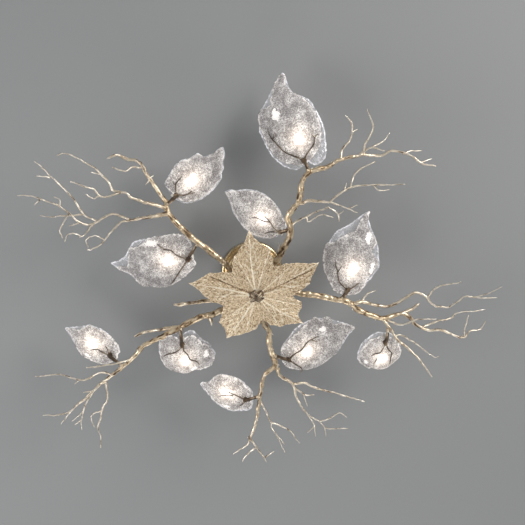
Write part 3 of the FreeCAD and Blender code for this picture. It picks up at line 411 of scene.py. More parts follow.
for x, y in SOCKET_AIMS.values():
    aim = Vector((x, y, 0)).normalized()
    boss = rounded([(6.1, 36.0), (10.0, 36.0), (10.0, 49.2), (9.4, 49.8), (9.4, 51.0), (10.2, 51.6),
                    (10.2, 54.0), (6.1, 54.0)], 0.5)
    drum.append(lathe(boss[::-1], 40, (0, 0, AXIS_HEIGHT), aim))
piece("socket_hub", *gather(drum), TURNED, "fixture", "turned_brass", ["hub_shell"])
plate = lathe(rounded([(4.05, -191.0), (4.05, -188.05), (40.0, -188.05), (40.0, -190.2),
                       (39.0, -191.0)], 0.5), 96)
piece("hub_plate", *plate, TURNED, "fixture", "turned_brass", ["hub_cover"])
stud = lathe([(0, -183.0), (7.2, -183.0), (7.2, -187.9), (4.0, -188.0), (4.0, -219.5), (3.2, -220.3),
              (0, -220.3)][::-1], 36)
piece("long_stud", *stud, TURNED, "fixture", "turned_brass", ["leaf_stud"])
spacer = lathe(rounded([(4.05, -210.9), (7.0, -210.9), (7.0, -208.6), (6.2, -207.6), (6.2, -194.4),
                        (7.0, -193.4), (7.0, -191.05), (4.05, -191.05)], 0.5)[::-1], 40)
piece("turned_spacer", *spacer, TURNED, "fixture", "turned_brass", ["leaf_spacer"])

# ---------------------------------------------------------------- branches
# Five arms and a stub are cast in brass from real wood, so bark ridges, buds and snags show all
# along them, and twig sprays are brazed on. The gilt is rubbed off the ridges, brown in the grooves.
# Each limb: radius at its start, radius at its end, then the points (mm) that it grows through.
BRANCHES = {
    "arm_upper_left": [
        (8.5, 6.2, [(-60, -50, 0), (-90, -85, -2), (-175, -160, -12), (-205, -195, -14),
                    (-222, -218, -10), (-226, -240, -4)]),
        (5.2, 3.0, [(-226, -240, -4), (-270, -305, 13), (-290, -340, 18), (-322, -348, 23),
                    (-348, -360, 18), (-365, -354, 12)]),
        (2.6, 1.6, [(-280, -325, 15), (-308, -330, 8), (-326, -322, -2), (-355, -333, -4)]),
        (2.4, 1.5, [(-268, -300, 11), (-256, -308, 3)]),
        (2.4, 1.5, [(-266, -298, 10), (-277, -288, 0)]),
        (4.4, 3.0, [(-224, -226, -8), (-305, -255, -24), (-322, -270, -27), (-340, -274, -28)]),
        (3.0, 2.2, [(-340, -274, -28), (-358, -280, -24), (-368, -300, -20), (-400, -334, -12)]),
        (2.3, 1.4, [(-400, -334, -12), (-424, -348, -8), (-470, -370, -14), (-488, -367, -18)]),
        (1.8, 1.3, [(-384, -318, -16), (-406, -321, -8)]),
        (2.6, 1.5, [(-338, -273, -28), (-365, -267, -37), (-387, -270, -42), (-404, -287, -45),
                    (-452, -309, -58)]),
        (2.0, 1.4, [(-387, -270, -42), (-404, -264, -46), (-421, -273, -48)]),
    ],
    "spray_upper_left": [
        (4.6, 3.4, [(-232, -211, -10), (-336, -190, 6)]),
        (3.2, 2.6, [(-320, -194, 3), (-354, -209, 8), (-376, -204, 10), (-414, -184, 8)]),
        (2.6, 1.4, [(-405, -192, 10), (-436, -208, 18), (-476, -262, 33), (-550, -334, 46)]),
        (1.8, 1.2, [(-517, -299, 40), (-548, -308, 26)]),
        (2.3, 1.3, [(-436, -208, 18), (-502, -205, 3), (-539, -210, -4)]),
        (2.6, 1.4, [(-412, -184, 8), (-440, -187, 3), (-492, -236, -10), (-562, -266, -20),
                    (-590, -268, -24)]),
        (1.9, 1.3, [(-491, -236, -10), (-492, -250, -2), (-506, -258, 2)]),
        (1.8, 1.4, [(-540, -255, -16), (-553, -242, -8)]),
        (2.1, 1.4, [(-470, -213, -5), (-493, -179, -18), (-489, -159, -22)]),
        (2.0, 1.4, [(-445, -190, 2), (-470, -184, -7)]),
        (2.4, 1.8, [(-414, -183, 8), (-434, -160, -2), (-445, -155, -8)]),
        (1.9, 1.3, [(-443, -156, -8), (-462, -167, -14), (-475, -165, -18), (-482, -149, -22)]),
        (2.8, 1.6, [(-334, -191, 6), (-346, -186, 4), (-386, -145, -16), (-413, -128, -24),
                    (-426, -127, -28)]),
        (2.0, 1.4, [(-384, -147, -15), (-406, -157, -8), (-424, -154, -4)]),
        (1.6, 1.2, [(-422, -155, -4), (-433, -144, -2), (-427, -125, 0)]),
    ],
    "arm_upper_right": [
        (9.0, 6.4, [(46, -64, 0), (80, -127, -6), (91, -169, -10), (82, -202, -14),
                    (108, -238, -16), (120, -292, -10), (139, -316, -4)]),
        (2.4, 1.2, [(61, -94, -2), (59, -130, -8)]),
        (6.0, 4.0, [(139, -316, -4), (188, -327, 4), (215, -342, 8), (274, -353, 16)]),
        (3.6, 2.2, [(274, -353, 16), (320, -348, 20), (353, -361, 18), (398, -349, 8),
                    (423, -332, 2), (456, -325, -4)]),
        (1.8, 1.2, [(422, -333, 2), (451, -340, 10)]),
        (2.0, 1.3, [(378, -353, 13), (400, -359, 20), (427, -359, 24)]),
        (2.8, 1.8, [(258, -349, 14), (292, -370, 10), (325, -365, 0)]),
        (2.0, 1.4, [(291, -369, 10), (326, -385, 18), (343, -404, 24)]),
        (3.0, 1.5, [(218, -343, 8), (224, -367, 18), (243, -389, 26), (249, -410, 32),
                    (246, -431, 38), (233, -448, 42)]),
        (3.0, 1.5, [(274, -352, 16), (279, -381, 8), (296, -425, -4), (278, -470, -16)]),
        (1.8, 1.3, [(248, -408, 31), (262, -413, 36)]),
        (2.8, 1.6, [(92, -172, -11), (107, -188, -16), (176, -226, -30), (187, -226, -31),
                    (207, -210, -34), (211, -195, -35)]),
        (2.2, 1.3, [(128, -200, -22), (135, -192, -29), (167, -210, -35), (195, -203, -37)]),
        (1.7, 1.2, [(208, -209, -34), (221, -218, -35)]),
    ],
    "spray_upper_right": [
        (4.4, 3.0, [(118, -235, -18), (134, -243, -23), (186, -242, -30)]),
        (2.8, 1.6, [(186, -242, -30), (212, -263, -26), (257, -279, -20), (367, -286, -34)]),
        (2.2, 1.5, [(238, -274, -22), (249, -301, -14), (263, -318, -8), (302, -337, -2)]),
        (1.9, 1.3, [(296, -282, -22), (315, -265, -14), (342, -265, -8)]),
        (2.2, 1.4, [(186, -242, -30), (250, -220, -50)]),
        (1.7, 1.3, [(230, -227, -43), (254, -233, -40)]),
        (1.7, 1.3, [(224, -268, -24), (228, -286, -18)]),
    ],
    "arm_right": [
        (9.0, 7.0, [(78, 6, 0), (173, 20, -4), (246, 36, -12), (267, 54, -14), (294, 69, -15),
                    (336, 83, -14)]),
        (6.2, 4.2, [(336, 83, -14), (386, 72, -10), (409, 83, -8), (424, 101, -8),
                    (444, 113, -12)]),
        (4.0, 2.8, [(444, 113, -12), (468, 121, -16), (494, 119, -18), (543, 139, -26)]),
        (2.8, 1.5, [(543, 139, -26), (560, 136, -24), (574, 123, -18), (603, 121, -12),
                    (617, 102, -8)]),
        (2.0, 1.4, [(556, 135, -25), (553, 106, -34), (560, 71, -40)]),
        (4.2, 3.8, [(386, 72, -10), (416, 65, -2), (432, 52, 2)]),
        (2.8, 1.5, [(346, 86, -14), (385, 98, -22), (428, 82, -28), (473, 81, -32)]),
        (2.9, 1.4, [(440, 112, -12), (460, 110, -4), (490, 100, 2), (524, 96, 8), (546, 82, 12),
                    (617, 78, 20)]),
        (4.4, 2.0, [(336, 83, -14), (379, 138, -32), (424, 180, -44), (466, 231, -56)]),
        (2.2, 1.4, [(368, 127, -28), (394, 130, -22), (475, 193, -12), (493, 197, -10)]),
    ],
    "spray_right": [
        (4.4, 3.2, [(268, 38, -12), (281, 37, -9), (341, 54, -2), (371, 48, 0), (423, 18, -2),
                    (456, 32, -4)]),
        (2.4, 1.5, [(454, 31, -4), (481, -2, -12), (536, -15, -20)]),
        (2.8, 2.4, [(456, 32, -4), (467, 47, -2), (485, 59, 0)]),
        (2.4, 1.3, [(485, 59, 0), (517, 60, 2), (541, 46, 0), (557, 30, -4), (592, 29, -8),
                    (649, 4, -16)]),
        (1.8, 1.3, [(578, 30, -6), (608, 38, 2), (648, 39, 8)]),
        (2.2, 1.4, [(279, 37, -8), (292, 13, -16), (312, 2, -22)]),
    ],
    "arm_bottom": [
        (8.5, 6.6, [(17, 76, 0), (21, 92, 0), (36, 117, -2), (36, 151, -6), (53, 208, -12)]),
        (5.8, 3.6, [(53, 208, -12), (19, 250, -16), (1, 362, -20), (-17, 422, -17)]),
        (2.6, 1.4, [(-17, 421, -17), (-24, 446, -12), (-62, 475, -2)]),
        (3.0, 1.6, [(-17, 421, -17), (25, 481, -36)]),
        (1.8, 1.3, [(22, 473, -34), (48, 463, -24)]),
        (2.2, 1.3, [(1, 444, -26), (-30, 480, -10), (-37, 495, -7)]),
        (2.8, 2.2, [(10, 306, -19), (42, 383, -4)]),
        (2.1, 1.4, [(42, 382, -4), (91, 413, 6), (121, 456, 14)]),
        (2.0, 1.4, [(42, 382, -4), (46, 400, -10), (74, 438, -22)]),
        (1.7, 1.3, [(57, 419, -15), (79, 471, -6)]),
    ],
    "spray_bottom": [
        (4.8, 4.0, [(58, 221, -11), (67, 245, -8), (101, 270, -4)]),
        (3.2, 1.5, [(101, 270, -4), (137, 270, 0), (153, 282, 2), (205, 299, 0), (289, 322, -12)]),
        (3.2, 2.2, [(101, 270, -4), (111, 309, -14), (140, 355, -26)]),
        (2.1, 1.4, [(140, 355, -26), (158, 382, -32), (161, 410, -36)]),
        (1.7, 1.3, [(157, 388, -32), (140, 397, -38)]),
        (2.1, 1.6, [(140, 355, -26), (173, 375, -22)]),
        (1.9, 1.4, [(172, 374, -22), (186, 394, -20), (191, 421, -18)]),
        (1.7, 1.2, [(187, 395, -20), (207, 402, -14), (251, 406, -8)]),
        (1.8, 1.2, [(172, 374, -22), (195, 367, -28), (223, 346, -34), (242, 356, -38)]),
        (2.4, 1.5, [(104, 279, -6), (137, 307, 0), (158, 308, 4)]),
        (1.8, 1.3, [(131, 302, -1), (141, 340, 8)]),
    ],
    "arm_lower_left": [
        (8.5, 6.4, [(-72, 44, 0), (-110, 64, -2), (-142, 69, -5), (-167, 80, -8),
                    (-300, 147, -16)]),
        (6.2, 4.0, [(-300, 147, -16), (-338, 188, -18), (-405, 241, -20)]),
        (4.4, 4.8, [(-120, 68, -3), (-118, 86, -5)]),
        (4.8, 3.6, [(-197, 95, -11), (-287, 113, 8), (-316, 126, 13)]),
        (3.0, 1.6, [(-399, 236, -20), (-397, 297, -10), (-410, 322, -6), (-427, 386, 0),
                    (-422, 415, 2), (-425, 447, 4)]),
        (1.9, 1.3, [(-414, 334, -4), (-432, 334, -12), (-443, 346, -16), (-437, 372, -20)]),
        (3.0, 1.5, [(-382, 222, -20), (-404, 218, -12), (-428, 226, -6), (-447, 239, -2),
                    (-471, 243, 0), (-522, 229, 4), (-582, 233, 8)]),
        (1.8, 1.3, [(-468, 242, 0), (-483, 256, 6)]),
        (2.6, 1.8, [(-330, 179, -18), (-350, 181, -34), (-385, 186, -39), (-441, 190, -41)]),
    ],
    "spray_lower_left": [
        (3.6, 1.6, [(-411, 246, -21), (-500, 320, -36), (-563, 325, -40)]),
        (2.5, 1.4, [(-433, 266, -25), (-464, 329, -12), (-471, 386, -4)]),
        (1.7, 1.3, [(-465, 331, -12), (-492, 352, -20)]),
        (1.7, 1.3, [(-469, 358, -8), (-487, 374, -2)]),
        (1.8, 1.3, [(-490, 313, -35), (-520, 358, -24)]),
        (1.9, 1.4, [(-430, 264, -24), (-458, 271, -20)]),
    ],
    "stub_left": [
        (6.0, 4.6, [(-78, 6, 0), (-122, 25, -4), (-204, 32, -12)]),
    ],
}


def along(points):
    """How far each point lies along its route, and the whole length."""
    steps = [0.0]
    for a, b in zip(points, points[1:]):
        steps.append(steps[-1] + (b - a).length)
    return steps, steps[-1]


def limb_spline(curve, start_radius, end_radius, points, flare=1.22, tip=True):
    """One limb of a branch as a poly spline with radii: flared at its root, drawn out at its tip."""
    steps, total = along(points)
    radii = [start_radius + (end_radius - start_radius) * s / total for s in steps]
    root = points[0] + (points[1] - points[0]).normalized() * min(start_radius * 1.6, total * 0.2)
    radii = [start_radius * flare, start_radius * (1 + (flare - 1) * 0.25)] + radii[1:]
    points = [points[0], root] + points[1:]
    if tip:
        ahead = (points[-1] - points[-2]).normalized()
        radii[-1] = end_radius * 0.85
        points.append(points[-1] + ahead * end_radius * 1.6)
        radii.append(end_radius * 0.28)
    spline = curve.splines.new("POLY")
    spline.points.add(len(points) - 1)
    for spot, p, r in zip(spline.points, points, radii):
        spot.co = (p.x * MM, p.y * MM, p.z * MM, 1)
        spot.radius = r * MM


def growth_tree():
    """Geometry Nodes: routes with radii become wandering, ridged, budded limbs."""
    tree = bpy.data.node_groups.new("cast_growth", "GeometryNodeTree")
    face = tree.interface
    face.new_socket("Routes", in_out="INPUT", socket_type="NodeSocketGeometry")
    for label, value in (("Step", 0.0020), ("Wander", 0.0022), ("Ridge", 0.17), ("Bud Gap", 0.011),
                         ("Bud Share", 0.5), ("Calm Radius", 0.058)):
        face.new_socket(label, in_out="INPUT", socket_type="NodeSocketFloat").default_value = value
    for label, value in (("Sides", 14), ("Seed", 3)):
        face.new_socket(label, in_out="INPUT", socket_type="NodeSocketInt").default_value = value
    face.new_socket("Finish", in_out="INPUT", socket_type="NodeSocketMaterial")
    face.new_socket("Limbs", in_out="OUTPUT", socket_type="NodeSocketGeometry")
    given = tree.nodes.new("NodeGroupInput").outputs
    result = tree.nodes.new("NodeGroupOutput")

    def made(kind, **settings):
        """The output sockets of a new geometry node."""
        return add(tree, "GeometryNode" + kind, **settings).outputs

    def kept(geometry, **values):
        """Geometry that carries values with it, each under its name."""
        node = add(tree, "GeometryNodeCaptureAttribute", at={"Geometry": geometry})
        for name, value in values.items():
            node.capture_items.new("FLOAT", name)
            tree.links.new(value, node.inputs[name])
        return node.outputs

    def noted(geometry, name, value):
        """Geometry with a value stored on its points for the finish to read."""
        return made("StoreNamedAttribute", data_type="FLOAT", domain="POINT",
                    at={"Geometry": geometry, "Name": name, "Value": value})[0]

    def chosen(low, high):
        """A random number for each point."""
        node = add(tree, "FunctionNodeRandomValue", data_type="FLOAT", at={"Seed": given["Seed"]})
        node.inputs[2].default_value, node.inputs[3].default_value = low, high
        return node.outputs[1]

    # routes: evened out, then bent to and fro beyond the hub
    route = made("CurveSplineType", spline_type="CATMULL_ROM", at={"Curve": given["Routes"]})[0]
    route = made("ResampleCurve", mode="LENGTH", at={"Curve": route, "Length": given["Step"]})[0]
    spot = made("InputPosition")[0]
    wide = clouds(tree, spot, 26.0, 1.0, output="Color")
    tight = arrow(tree, "SCALE", clouds(tree, spot, 85.0, 1.0, output="Color"), scale=0.42)
    bend = arrow(tree, "SUBTRACT", arrow(tree, "ADD", wide, tight), (0.71, 0.71, 0.71))
    reach = arrow(tree, "LENGTH", arrow(tree, "MULTIPLY", spot, (1, 1, 0)))
    past_hub = reckon(tree, "SUBTRACT", reach, given["Calm Radius"])
    loose = reckon(tree, "MULTIPLY", past_hub, 24.0, clamp=True)
    sway = reckon(tree, "MULTIPLY", reckon(tree, "MULTIPLY", loose, given["Wander"]), 3.2)
    route = made("SetPosition", at={"Geometry": route,
                                    "Offset": arrow(tree, "SCALE", bend, scale=sway)})[0]
    # limbs: swollen here and there, with ridges that twist along them
    swell = spread(tree, clouds(tree, spot, 70.0, 2.0), 0.86, 1.20, 0.3, 0.72)
    limb = kept(route, girth=reckon(tree, "MULTIPLY", made("InputRadius")[0], swell),
                run=made("SplineParameter")["Length"])
    circle = made("CurvePrimitiveCircle", at={"Resolution": given["Sides"], "Radius": 1.0})[0]
    ring = kept(circle, round=made("SplineParameter")["Factor"])
    girth, run = limb["girth"], limb["run"]
    tube = made("CurveToMesh", at={"Curve": limb["Geometry"], "Profile Curve": ring["Geometry"],
                                   "Scale": girth, "Fill Caps": True})[0]
    angle = reckon(tree, "ADD", reckon(tree, "MULTIPLY", ring["round"], 2 * math.pi),
                   reckon(tree, "MULTIPLY", run, 11.0))
    bark_at = add(tree, "ShaderNodeCombineXYZ",
                  at={0: reckon(tree, "MULTIPLY", reckon(tree, "COSINE", angle), 2.0),
                      1: reckon(tree, "MULTIPLY", reckon(tree, "SINE", angle), 2.0),
                      2: reckon(tree, "MULTIPLY", run, 12.0)}).outputs[0]
    high = spread(tree, clouds(tree, bark_at, 1.55, 3.0, 0.55), -1.0, 1.0, 0.28, 0.72)
    rise = reckon(tree, "MULTIPLY", reckon(tree, "MULTIPLY", high, girth), given["Ridge"])
    push = arrow(tree, "SCALE", made("InputNormal")[0], scale=rise)
    wood = made("SetPosition", at={"Geometry": tube, "Offset": push})[0]
    wood = noted(wood, "ridge", spread(tree, high, 0.0, 1.0, -1.0, 1.0))
    wood = noted(wood, "thickness", spread(tree, girth, 0.0, 1.0, 0.0012, 0.0060))
    # buds and snags
    dots = made("CurveToPoints", mode="LENGTH", at={"Curve": limb["Geometry"],
                                                    "Length": given["Bud Gap"]})
    chance = add(tree, "FunctionNodeRandomValue", data_type="BOOLEAN",
                 at={"Probability": given["Bud Share"], "Seed": given["Seed"]})
    roll = add(tree, "FunctionNodeAxisAngleToRotation",
               at={"Axis": (0, 0, 1), "Angle": chosen(0.0, 2 * math.pi)})
    aim = add(tree, "FunctionNodeRotateRotation", rotation_space="LOCAL",
              at={"Rotation": dots["Rotation"], "Rotate By": roll.outputs[0]})
    bud = made("MeshCone", at={"Vertices": 6, "Side Segments": 3, "Radius Top": 0.22,
                               "Radius Bottom": 0.78, "Depth": 3.3})["Mesh"]
    leant = made("Transform", at={"Geometry": bud, "Rotation": (0, math.radians(57), 0)})[0]
    size = reckon(tree, "MULTIPLY", chosen(0.36, 0.66),
                  reckon(tree, "ADD", reckon(tree, "MULTIPLY", girth, 0.72), 0.0007))
    buds = made("InstanceOnPoints",
                at={"Points": dots["Points"], "Selection": chance.outputs[3], "Instance": leant,
                    "Rotation": aim.outputs[0], "Scale": size})[0]
    buds = noted(made("RealizeInstances", at={"Geometry": buds})[0], "ridge", 0.62)
    every = tree.nodes.new("GeometryNodeJoinGeometry")
    tree.links.new(wood, every.inputs[0])
    tree.links.new(buds, every.inputs[0])
    soft = made("SetShadeSmooth", at={"Geometry": every.outputs[0]})[0]
    whole = made("RealizeInstances", at={"Geometry": soft})[0]
    dressed = made("SetMaterial", at={"Geometry": whole, "Material": given["Finish"]})[0]
    tree.links.new(dressed, result.inputs["Limbs"])
    return tree


GROWTH = growth_tree()


def grown(name, limbs, material, body, slot, nodes, **inputs):
    """Limbs from the growth tree as one plain mesh piece; limbs are keyword sets of limb_spline."""
    curve = bpy.data.curves.new(name, "CURVE")
    curve.dimensions = "3D"
    for limb in limbs:
        limb_spline(curve, **limb)
    seedling = bpy.data.objects.new(name + "_routes", curve)
    bpy.context.scene.collection.objects.link(seedling)
    modifier = seedling.modifiers.new("growth", "NODES")
    modifier.node_group = GROWTH
    inputs["Finish"] = material
    for item in GROWTH.interface.items_tree:
        if item.in_out == "INPUT" and item.name in inputs:
            modifier[item.identifier] = inputs[item.name]
    bpy.context.view_layer.update()
    ready = seedling.evaluated_get(bpy.context.evaluated_depsgraph_get())
    mesh = bpy.data.meshes.new_from_object(ready)
    mesh.name = name
    seedling.modifiers.remove(modifier)
    bpy.data.objects.remove(seedling)
    stand_in(name, mesh, body, nodes)


def gilded_bark(name, low, high):
    """Champagne gilt on cast bark: brown in the grooves and on some knots, paler on thin twigs.

    low and high are how much of the ridges keep the brown, and where the gilt is whole."""
    material, tree = blank_material(name)
    spot = where(tree)
    fine = clouds(tree, spot, 620.0, 4.0, 0.65)
    patch = spread(tree, clouds(tree, spot, 58.0, 3.0), 0.0, 1.0, 0.30, 0.62)
    mixed = heap(tree, fact(tree, "ridge"), (fine, 0.62), (patch, 0.42))
    share = spread(tree, mixed, 0.0, 1.0, low, high)
    gold = ramp(tree, share, (0.0, (0.035, 0.020, 0.010)), (0.34, (0.14, 0.085, 0.042)),
                (0.50, (0.48, 0.355, 0.215)), (1.0, (0.90, 0.76, 0.55)))
    pale = ramp(tree, share, (0.0, (0.055, 0.038, 0.026)), (0.30, (0.20, 0.155, 0.11)),
                (0.44, (0.62, 0.55, 0.45)), (1.0, (0.97, 0.92, 0.83)))
    principled(tree, Base_Color=blend(tree, fact(tree, "thickness"), pale, gold),
               Metallic=spread(tree, mixed, 0.25, 0.85, low, high),
               Roughness=spread(tree, mixed, 0.58, 0.30, low, high),
               Normal=relief(tree, mixed, 0.55, 0.0006))
    return material


BARK = gilded_bark("bark_gold", 0.53, 1.40)


def hung(point):
    """A route point, drawn from the height of the arm sockets, in the light's own frame."""
    return Vector((point[0], point[1], point[2] + AXIS_HEIGHT))


BOSS_RADIUS = 5.5


def plan_bosses():
    """Seats on each arm: for its brazed spray, and for the stems of its shades."""
    seats = {}
    for spray in filter(lambda name: name.startswith("spray_"), BRANCHES):
        radius, _, route = BRANCHES[spray][0]
        points = [hung(p) for p in route]
        run = (points[-1] - points[0]).normalized()
        seats.setdefault(spray.replace("spray_", "arm_"), []).append(
            {"start_radius": radius * 1.2, "end_radius": radius * 1.12, "tip": False, "flare": 1.1,
             "points": [points[0] - run * 16, points[0] - run * 5, points[0] + run * 3]})
    for shade in SHADES:
        start, end = stem_ends(shade)
        mouth = start + (end - start).normalized() * (BOSS_RADIUS + 5)
        seats.setdefault(shade[0], []).append(
            {"start_radius": BOSS_RADIUS, "end_radius": BOSS_RADIUS * 0.82, "tip": False,
             "flare": 1.25, "points": [start, (start + mouth) / 2, mouth]})
    return seats


# Each shade: its branch, the point on the branch, the seat of the unit, heading and pitch in
# degrees, length and half width of its front leaf, and the leaf's form.
SHADES = [
    ("arm_upper_right", (136, -316, -4), (124, -339, 12), 257, 18, 225, 74, "broad"),
    ("arm_upper_left", (-225, -234, -6), (-203, -256, 8), 319, 18, 165, 50, "small"),
    ("arm_upper_right", (91, -165, -10), (67, -157, 3), 214, 18, 170, 47, "small"),
    ("arm_upper_left", (-147, -136, -8), (-169, -92, 3), 171, 18, 212, 69, "long"),
    ("arm_right", (224, 30, -9), (241, 7, 6), 287, 18, 210, 70, "broad"),
    ("arm_bottom", (47, 182, -10), (82, 196, 2), 345, 18, 212, 61, "long"),
    ("arm_right", (352, 109, -22), (343, 138, -18), 93, 18, 101, 53, "heart"),
    ("arm_lower_left", (-199, 96, -11), (-195, 132, -15), 84, 18, 106, 66, "heart"),
    ("arm_lower_left", (-352, 197, -19), (-380, 168, -7), 208, 18, 142, 45, "small"),
    ("arm_bottom", (10, 297, -18), (-24, 305, -7), 193, 18, 126, 44, "small"),
]
# Sections of each form of leaf: share of the length, left and right half width, drop of the keel.
LEAF_SECTIONS = {
    "broad": [(0.28, 0.99, 0.79, -7), (0.64, 1.04, 0.56, -7), (0.73, 0.64, 0.4, -4),
              (0.88, 0.3, 0.18, 3), (1.0, 0.04, 0.04, 11)],
    "long": [(0.17, 1.06, 0.8, -4), (0.38, 1.14, 1.0, -7), (0.6, 0.94, 0.8, -6), (0.8, 0.4, 0.46, 0),
             (1.0, 0.04, 0.04, 9)],
    "small": [(0.28, 1.0, 0.98, -4), (0.52, 0.92, 0.94, -6), (0.74, 0.58, 0.66, -3),
              (0.88, 0.28, 0.34, 2), (1.0, 0.04, 0.04, 7)],
    "heart": [(0.36, 1.04, 1.02, -5), (0.6, 0.98, 0.98, -7), (0.82, 0.62, 0.8, -6),
              (0.95, 0.42, 0.56, -3), (1.0, 0.2, 0.34, -1)],
}


def unit_axes(heading, pitch):
    """Directions along a leaf, across it and up, from its heading and pitch."""
    a, b = math.radians(heading), math.radians(pitch)
    u = Vector((math.cos(b) * math.cos(a), math.cos(b) * math.sin(a), math.sin(b)))
    w = Vector((-math.sin(a), math.cos(a), 0))
    return u, w, u.cross(w)


def unit_place(shade, u, w, h):
    """Point (u, w, h) of a shade unit in the light's own frame, in mm."""
    ahead, aside, up = unit_axes(shade[3], shade[4])
    return hung(shade[2]) + ahead * u + aside * w + up * h


KNUCKLE_TOP, KNUCKLE_HEIGHT = -12.0, 13.0


def stem_ends(shade):
    return hung(shade[1]), unit_place(shade, 0, 0, KNUCKLE_TOP - KNUCKLE_HEIGHT * 0.9)


ARM_SEATS = plan_bosses()
for name, table in BRANCHES.items():
    limbs = []
    for k, (start_radius, end_radius, route) in enumerate(table):
        limb = {"start_radius": start_radius, "end_radius": end_radius,
                "points": [hung(p) for p in route]}
        if k == 0 and name in SOCKET_AIMS:
            # the first limb grows out of the hub's socket
            aim = Vector((*SOCKET_AIMS[name], 0)).normalized()
            height = Vector((0, 0, AXIS_HEIGHT))
            limb["points"] = [aim * 47 + height, aim * 54 + height] + limb["points"]
            limb["start_radius"], limb["flare"] = start_radius * 0.98, 0.62
        limbs.append(limb)
    grown("bark_" + name, limbs + ARM_SEATS.get(name, []), BARK, "fixture", "bark_gold", [name],
          Seed=len(name) + 5, Sides=14)

# ---------------------------------------------------------------- maple leaf
# The leaf is one cast brass plate, gold plated: hammered all over between raised veins, its lobes
# lifted at their tips, with brown patina left in the hammer marks and in two deep folds.
# Edge of the leaf from its stalk end round: bearing, reach and rise of every point and notch.
LEAF_LEVEL, LEAF_PLATE, LEAF_EYE = -214.0, 3.0, 20.0
LEAF_EDGE = [
    (2, 93, -1), (10, 118, 2), (17, 123, 2), (27, 122, 3), (34, 148, 9), (44, 119, 4), (55, 108, 2),
    (66, 90, 0), (77, 68, -1), (90, 92, 0), (102, 104, 2), (112, 118, 4), (123, 142, 9),
    (132, 122, 3), (143, 121, 2), (153, 100, 0), (163, 88, -1), (172, 116, 1), (181, 135, 3),
    (191, 176, 10), (200, 148, 4), (208, 135, 2), (217, 108, 0), (226, 88, -1), (235, 108, 1),
    (243, 121, 2), (253, 134, 5), (264, 172, 11), (274, 138, 5), (286, 129, 2), (293, 106, 0),
    (301, 88, -1), (311, 112, 1), (320, 133, 2), (326, 148, 5), (333, 182, 12), (340, 156, 5),
    (348, 141, 2), (355, 116, 0),
]
# Bearings of the veins to the five tips, of the lesser veins, and of the two dark folds.
MAIN_VEINS = (34, 123, 191, 264, 333)
SIDE_VEINS = (14, 55, 104, 143, 179, 207, 243, 286, 318, 348)
FOLDS = (336, 204)


def filled(outline, spacing):
    """Triangles over a closed outline: points of a triangular grid inside, all edges kept."""
    edge = np.array(outline)
    low, high = edge.min(0), edge.max(0)
    grid = []
    row, y = 0, low[1]
    while y < high[1]:
        xs = np.arange(low[0] + (spacing / 2 if row % 2 else 0), high[0], spacing)
        grid += [(x, y) for x in xs]
        y += spacing * 0.866
        row += 1
    grid = np.array(grid)
    ahead = np.roll(edge, -1, 0)
    inside = np.zeros(len(grid), bool)
    for (x0, y0), (x1, y1) in zip(edge, ahead):
        if y0 != y1:
            crosses = (y0 > grid[:, 1]) != (y1 > grid[:, 1])
            at = x0 + (grid[:, 1] - y0) / (y1 - y0) * (x1 - x0)
            inside ^= crosses & (grid[:, 0] < at)
    grid = grid[inside]
    grid = grid[rim_distance(grid, edge) > spacing * 0.62]
    spots = [Vector(p) for p in edge] + [Vector(p) for p in grid]
    ring = list(range(len(edge)))
    found = geometry.delaunay_2d_cdt(spots, [], [ring], 1, 1e-6)
    return [tuple(p) for p in found[0]], [tuple(f) for f in found[2]]


def rim_distance(spots, edge):
    """How far each spot lies from the outline."""
    spots, edge = np.asarray(spots), np.asarray(edge)
    ahead = np.roll(edge, -1, 0)
    best = np.full(len(spots), 1e9)
    for start, end in zip(edge, ahead):
        run = end - start
        share = np.clip(((spots - start) @ run) / max(run @ run, 1e-9), 0, 1)
        best = np.minimum(best, np.hypot(*(spots - start - share[:, None] * run).T))
    return best


def plated(spots, faces, lower, upper, bulge):
    """Closed sheet from its flat triangles: lower and upper skins joined by a rounded edge.

    lower and upper are points in mm; bulge is how far the edge stands out. The third result
    tells, for each spot on the edge, its point in the middle of the edge."""
    count = len(spots)
    flat = np.asarray(spots)
    turned_faces = []
    for a, b, c in faces:
        area = ((flat[b][0] - flat[a][0]) * (flat[c][1] - flat[a][1])
                - (flat[b][1] - flat[a][1]) * (flat[c][0] - flat[a][0]))
        turned_faces.append((a, b, c) if area > 0 else (a, c, b))
    seen = dict.fromkeys(pair for a, b, c in turned_faces for pair in ((a, b), (b, c), (c, a)))
    border = [(a, b) for a, b in seen if (b, a) not in seen]
    following = dict(border)
    previous = {b: a for a, b in border}
    points = [Vector(p) for p in lower] + [Vector(p) for p in upper]
    middle = {}
    for a in following:
        run = points[following[a]] - points[previous[a]]
        up = (points[a + count] - points[a]).normalized()
        out = run.cross(up).normalized()
        middle[a] = len(points)
        points.append((points[a] + points[a + count]) / 2 + out * bulge)
    out_faces = [(a + count, b + count, c + count) for a, b, c in turned_faces]
    out_faces += [(a, c, b) for a, b, c in turned_faces]
    for a, b in border:
        out_faces += [(a, b, middle[b], middle[a]), (middle[a], middle[b], b + count, a + count)]
    return points, out_faces, middle


def skinned(values, order, edge=None):
    """A fact's values on the lower skin, on the upper skin and on the middle of the edge."""
    last = values[order] if edge is None else np.full(len(order), edge)
    return np.concatenate([values, values, last])


def maple_edge():
    """The leaf's outline with a few small teeth between its points."""
    corners = [Vector((r * math.cos(math.radians(b)), r * math.sin(math.radians(b))))
               for b, r, _ in LEAF_EDGE]
    out = []
    for k, here in enumerate(corners):
        after = corners[(k + 1) % len(corners)]
        run = after - here
        side = Vector((run.y, -run.x)).normalized()
        steps = max(int(run.length / 1.9), 2)
        for s in range(steps):
            t = s / steps
            spot = here + run * t
            tooth = 2.6 * noise.noise(Vector((spot.x, spot.y, 3.0)) * 0.13)
            sag = -0.055 * run.length * math.sin(math.pi * t)
            out.append(tuple(spot + side * (sag + tooth * math.sin(math.pi * t))))
    return out


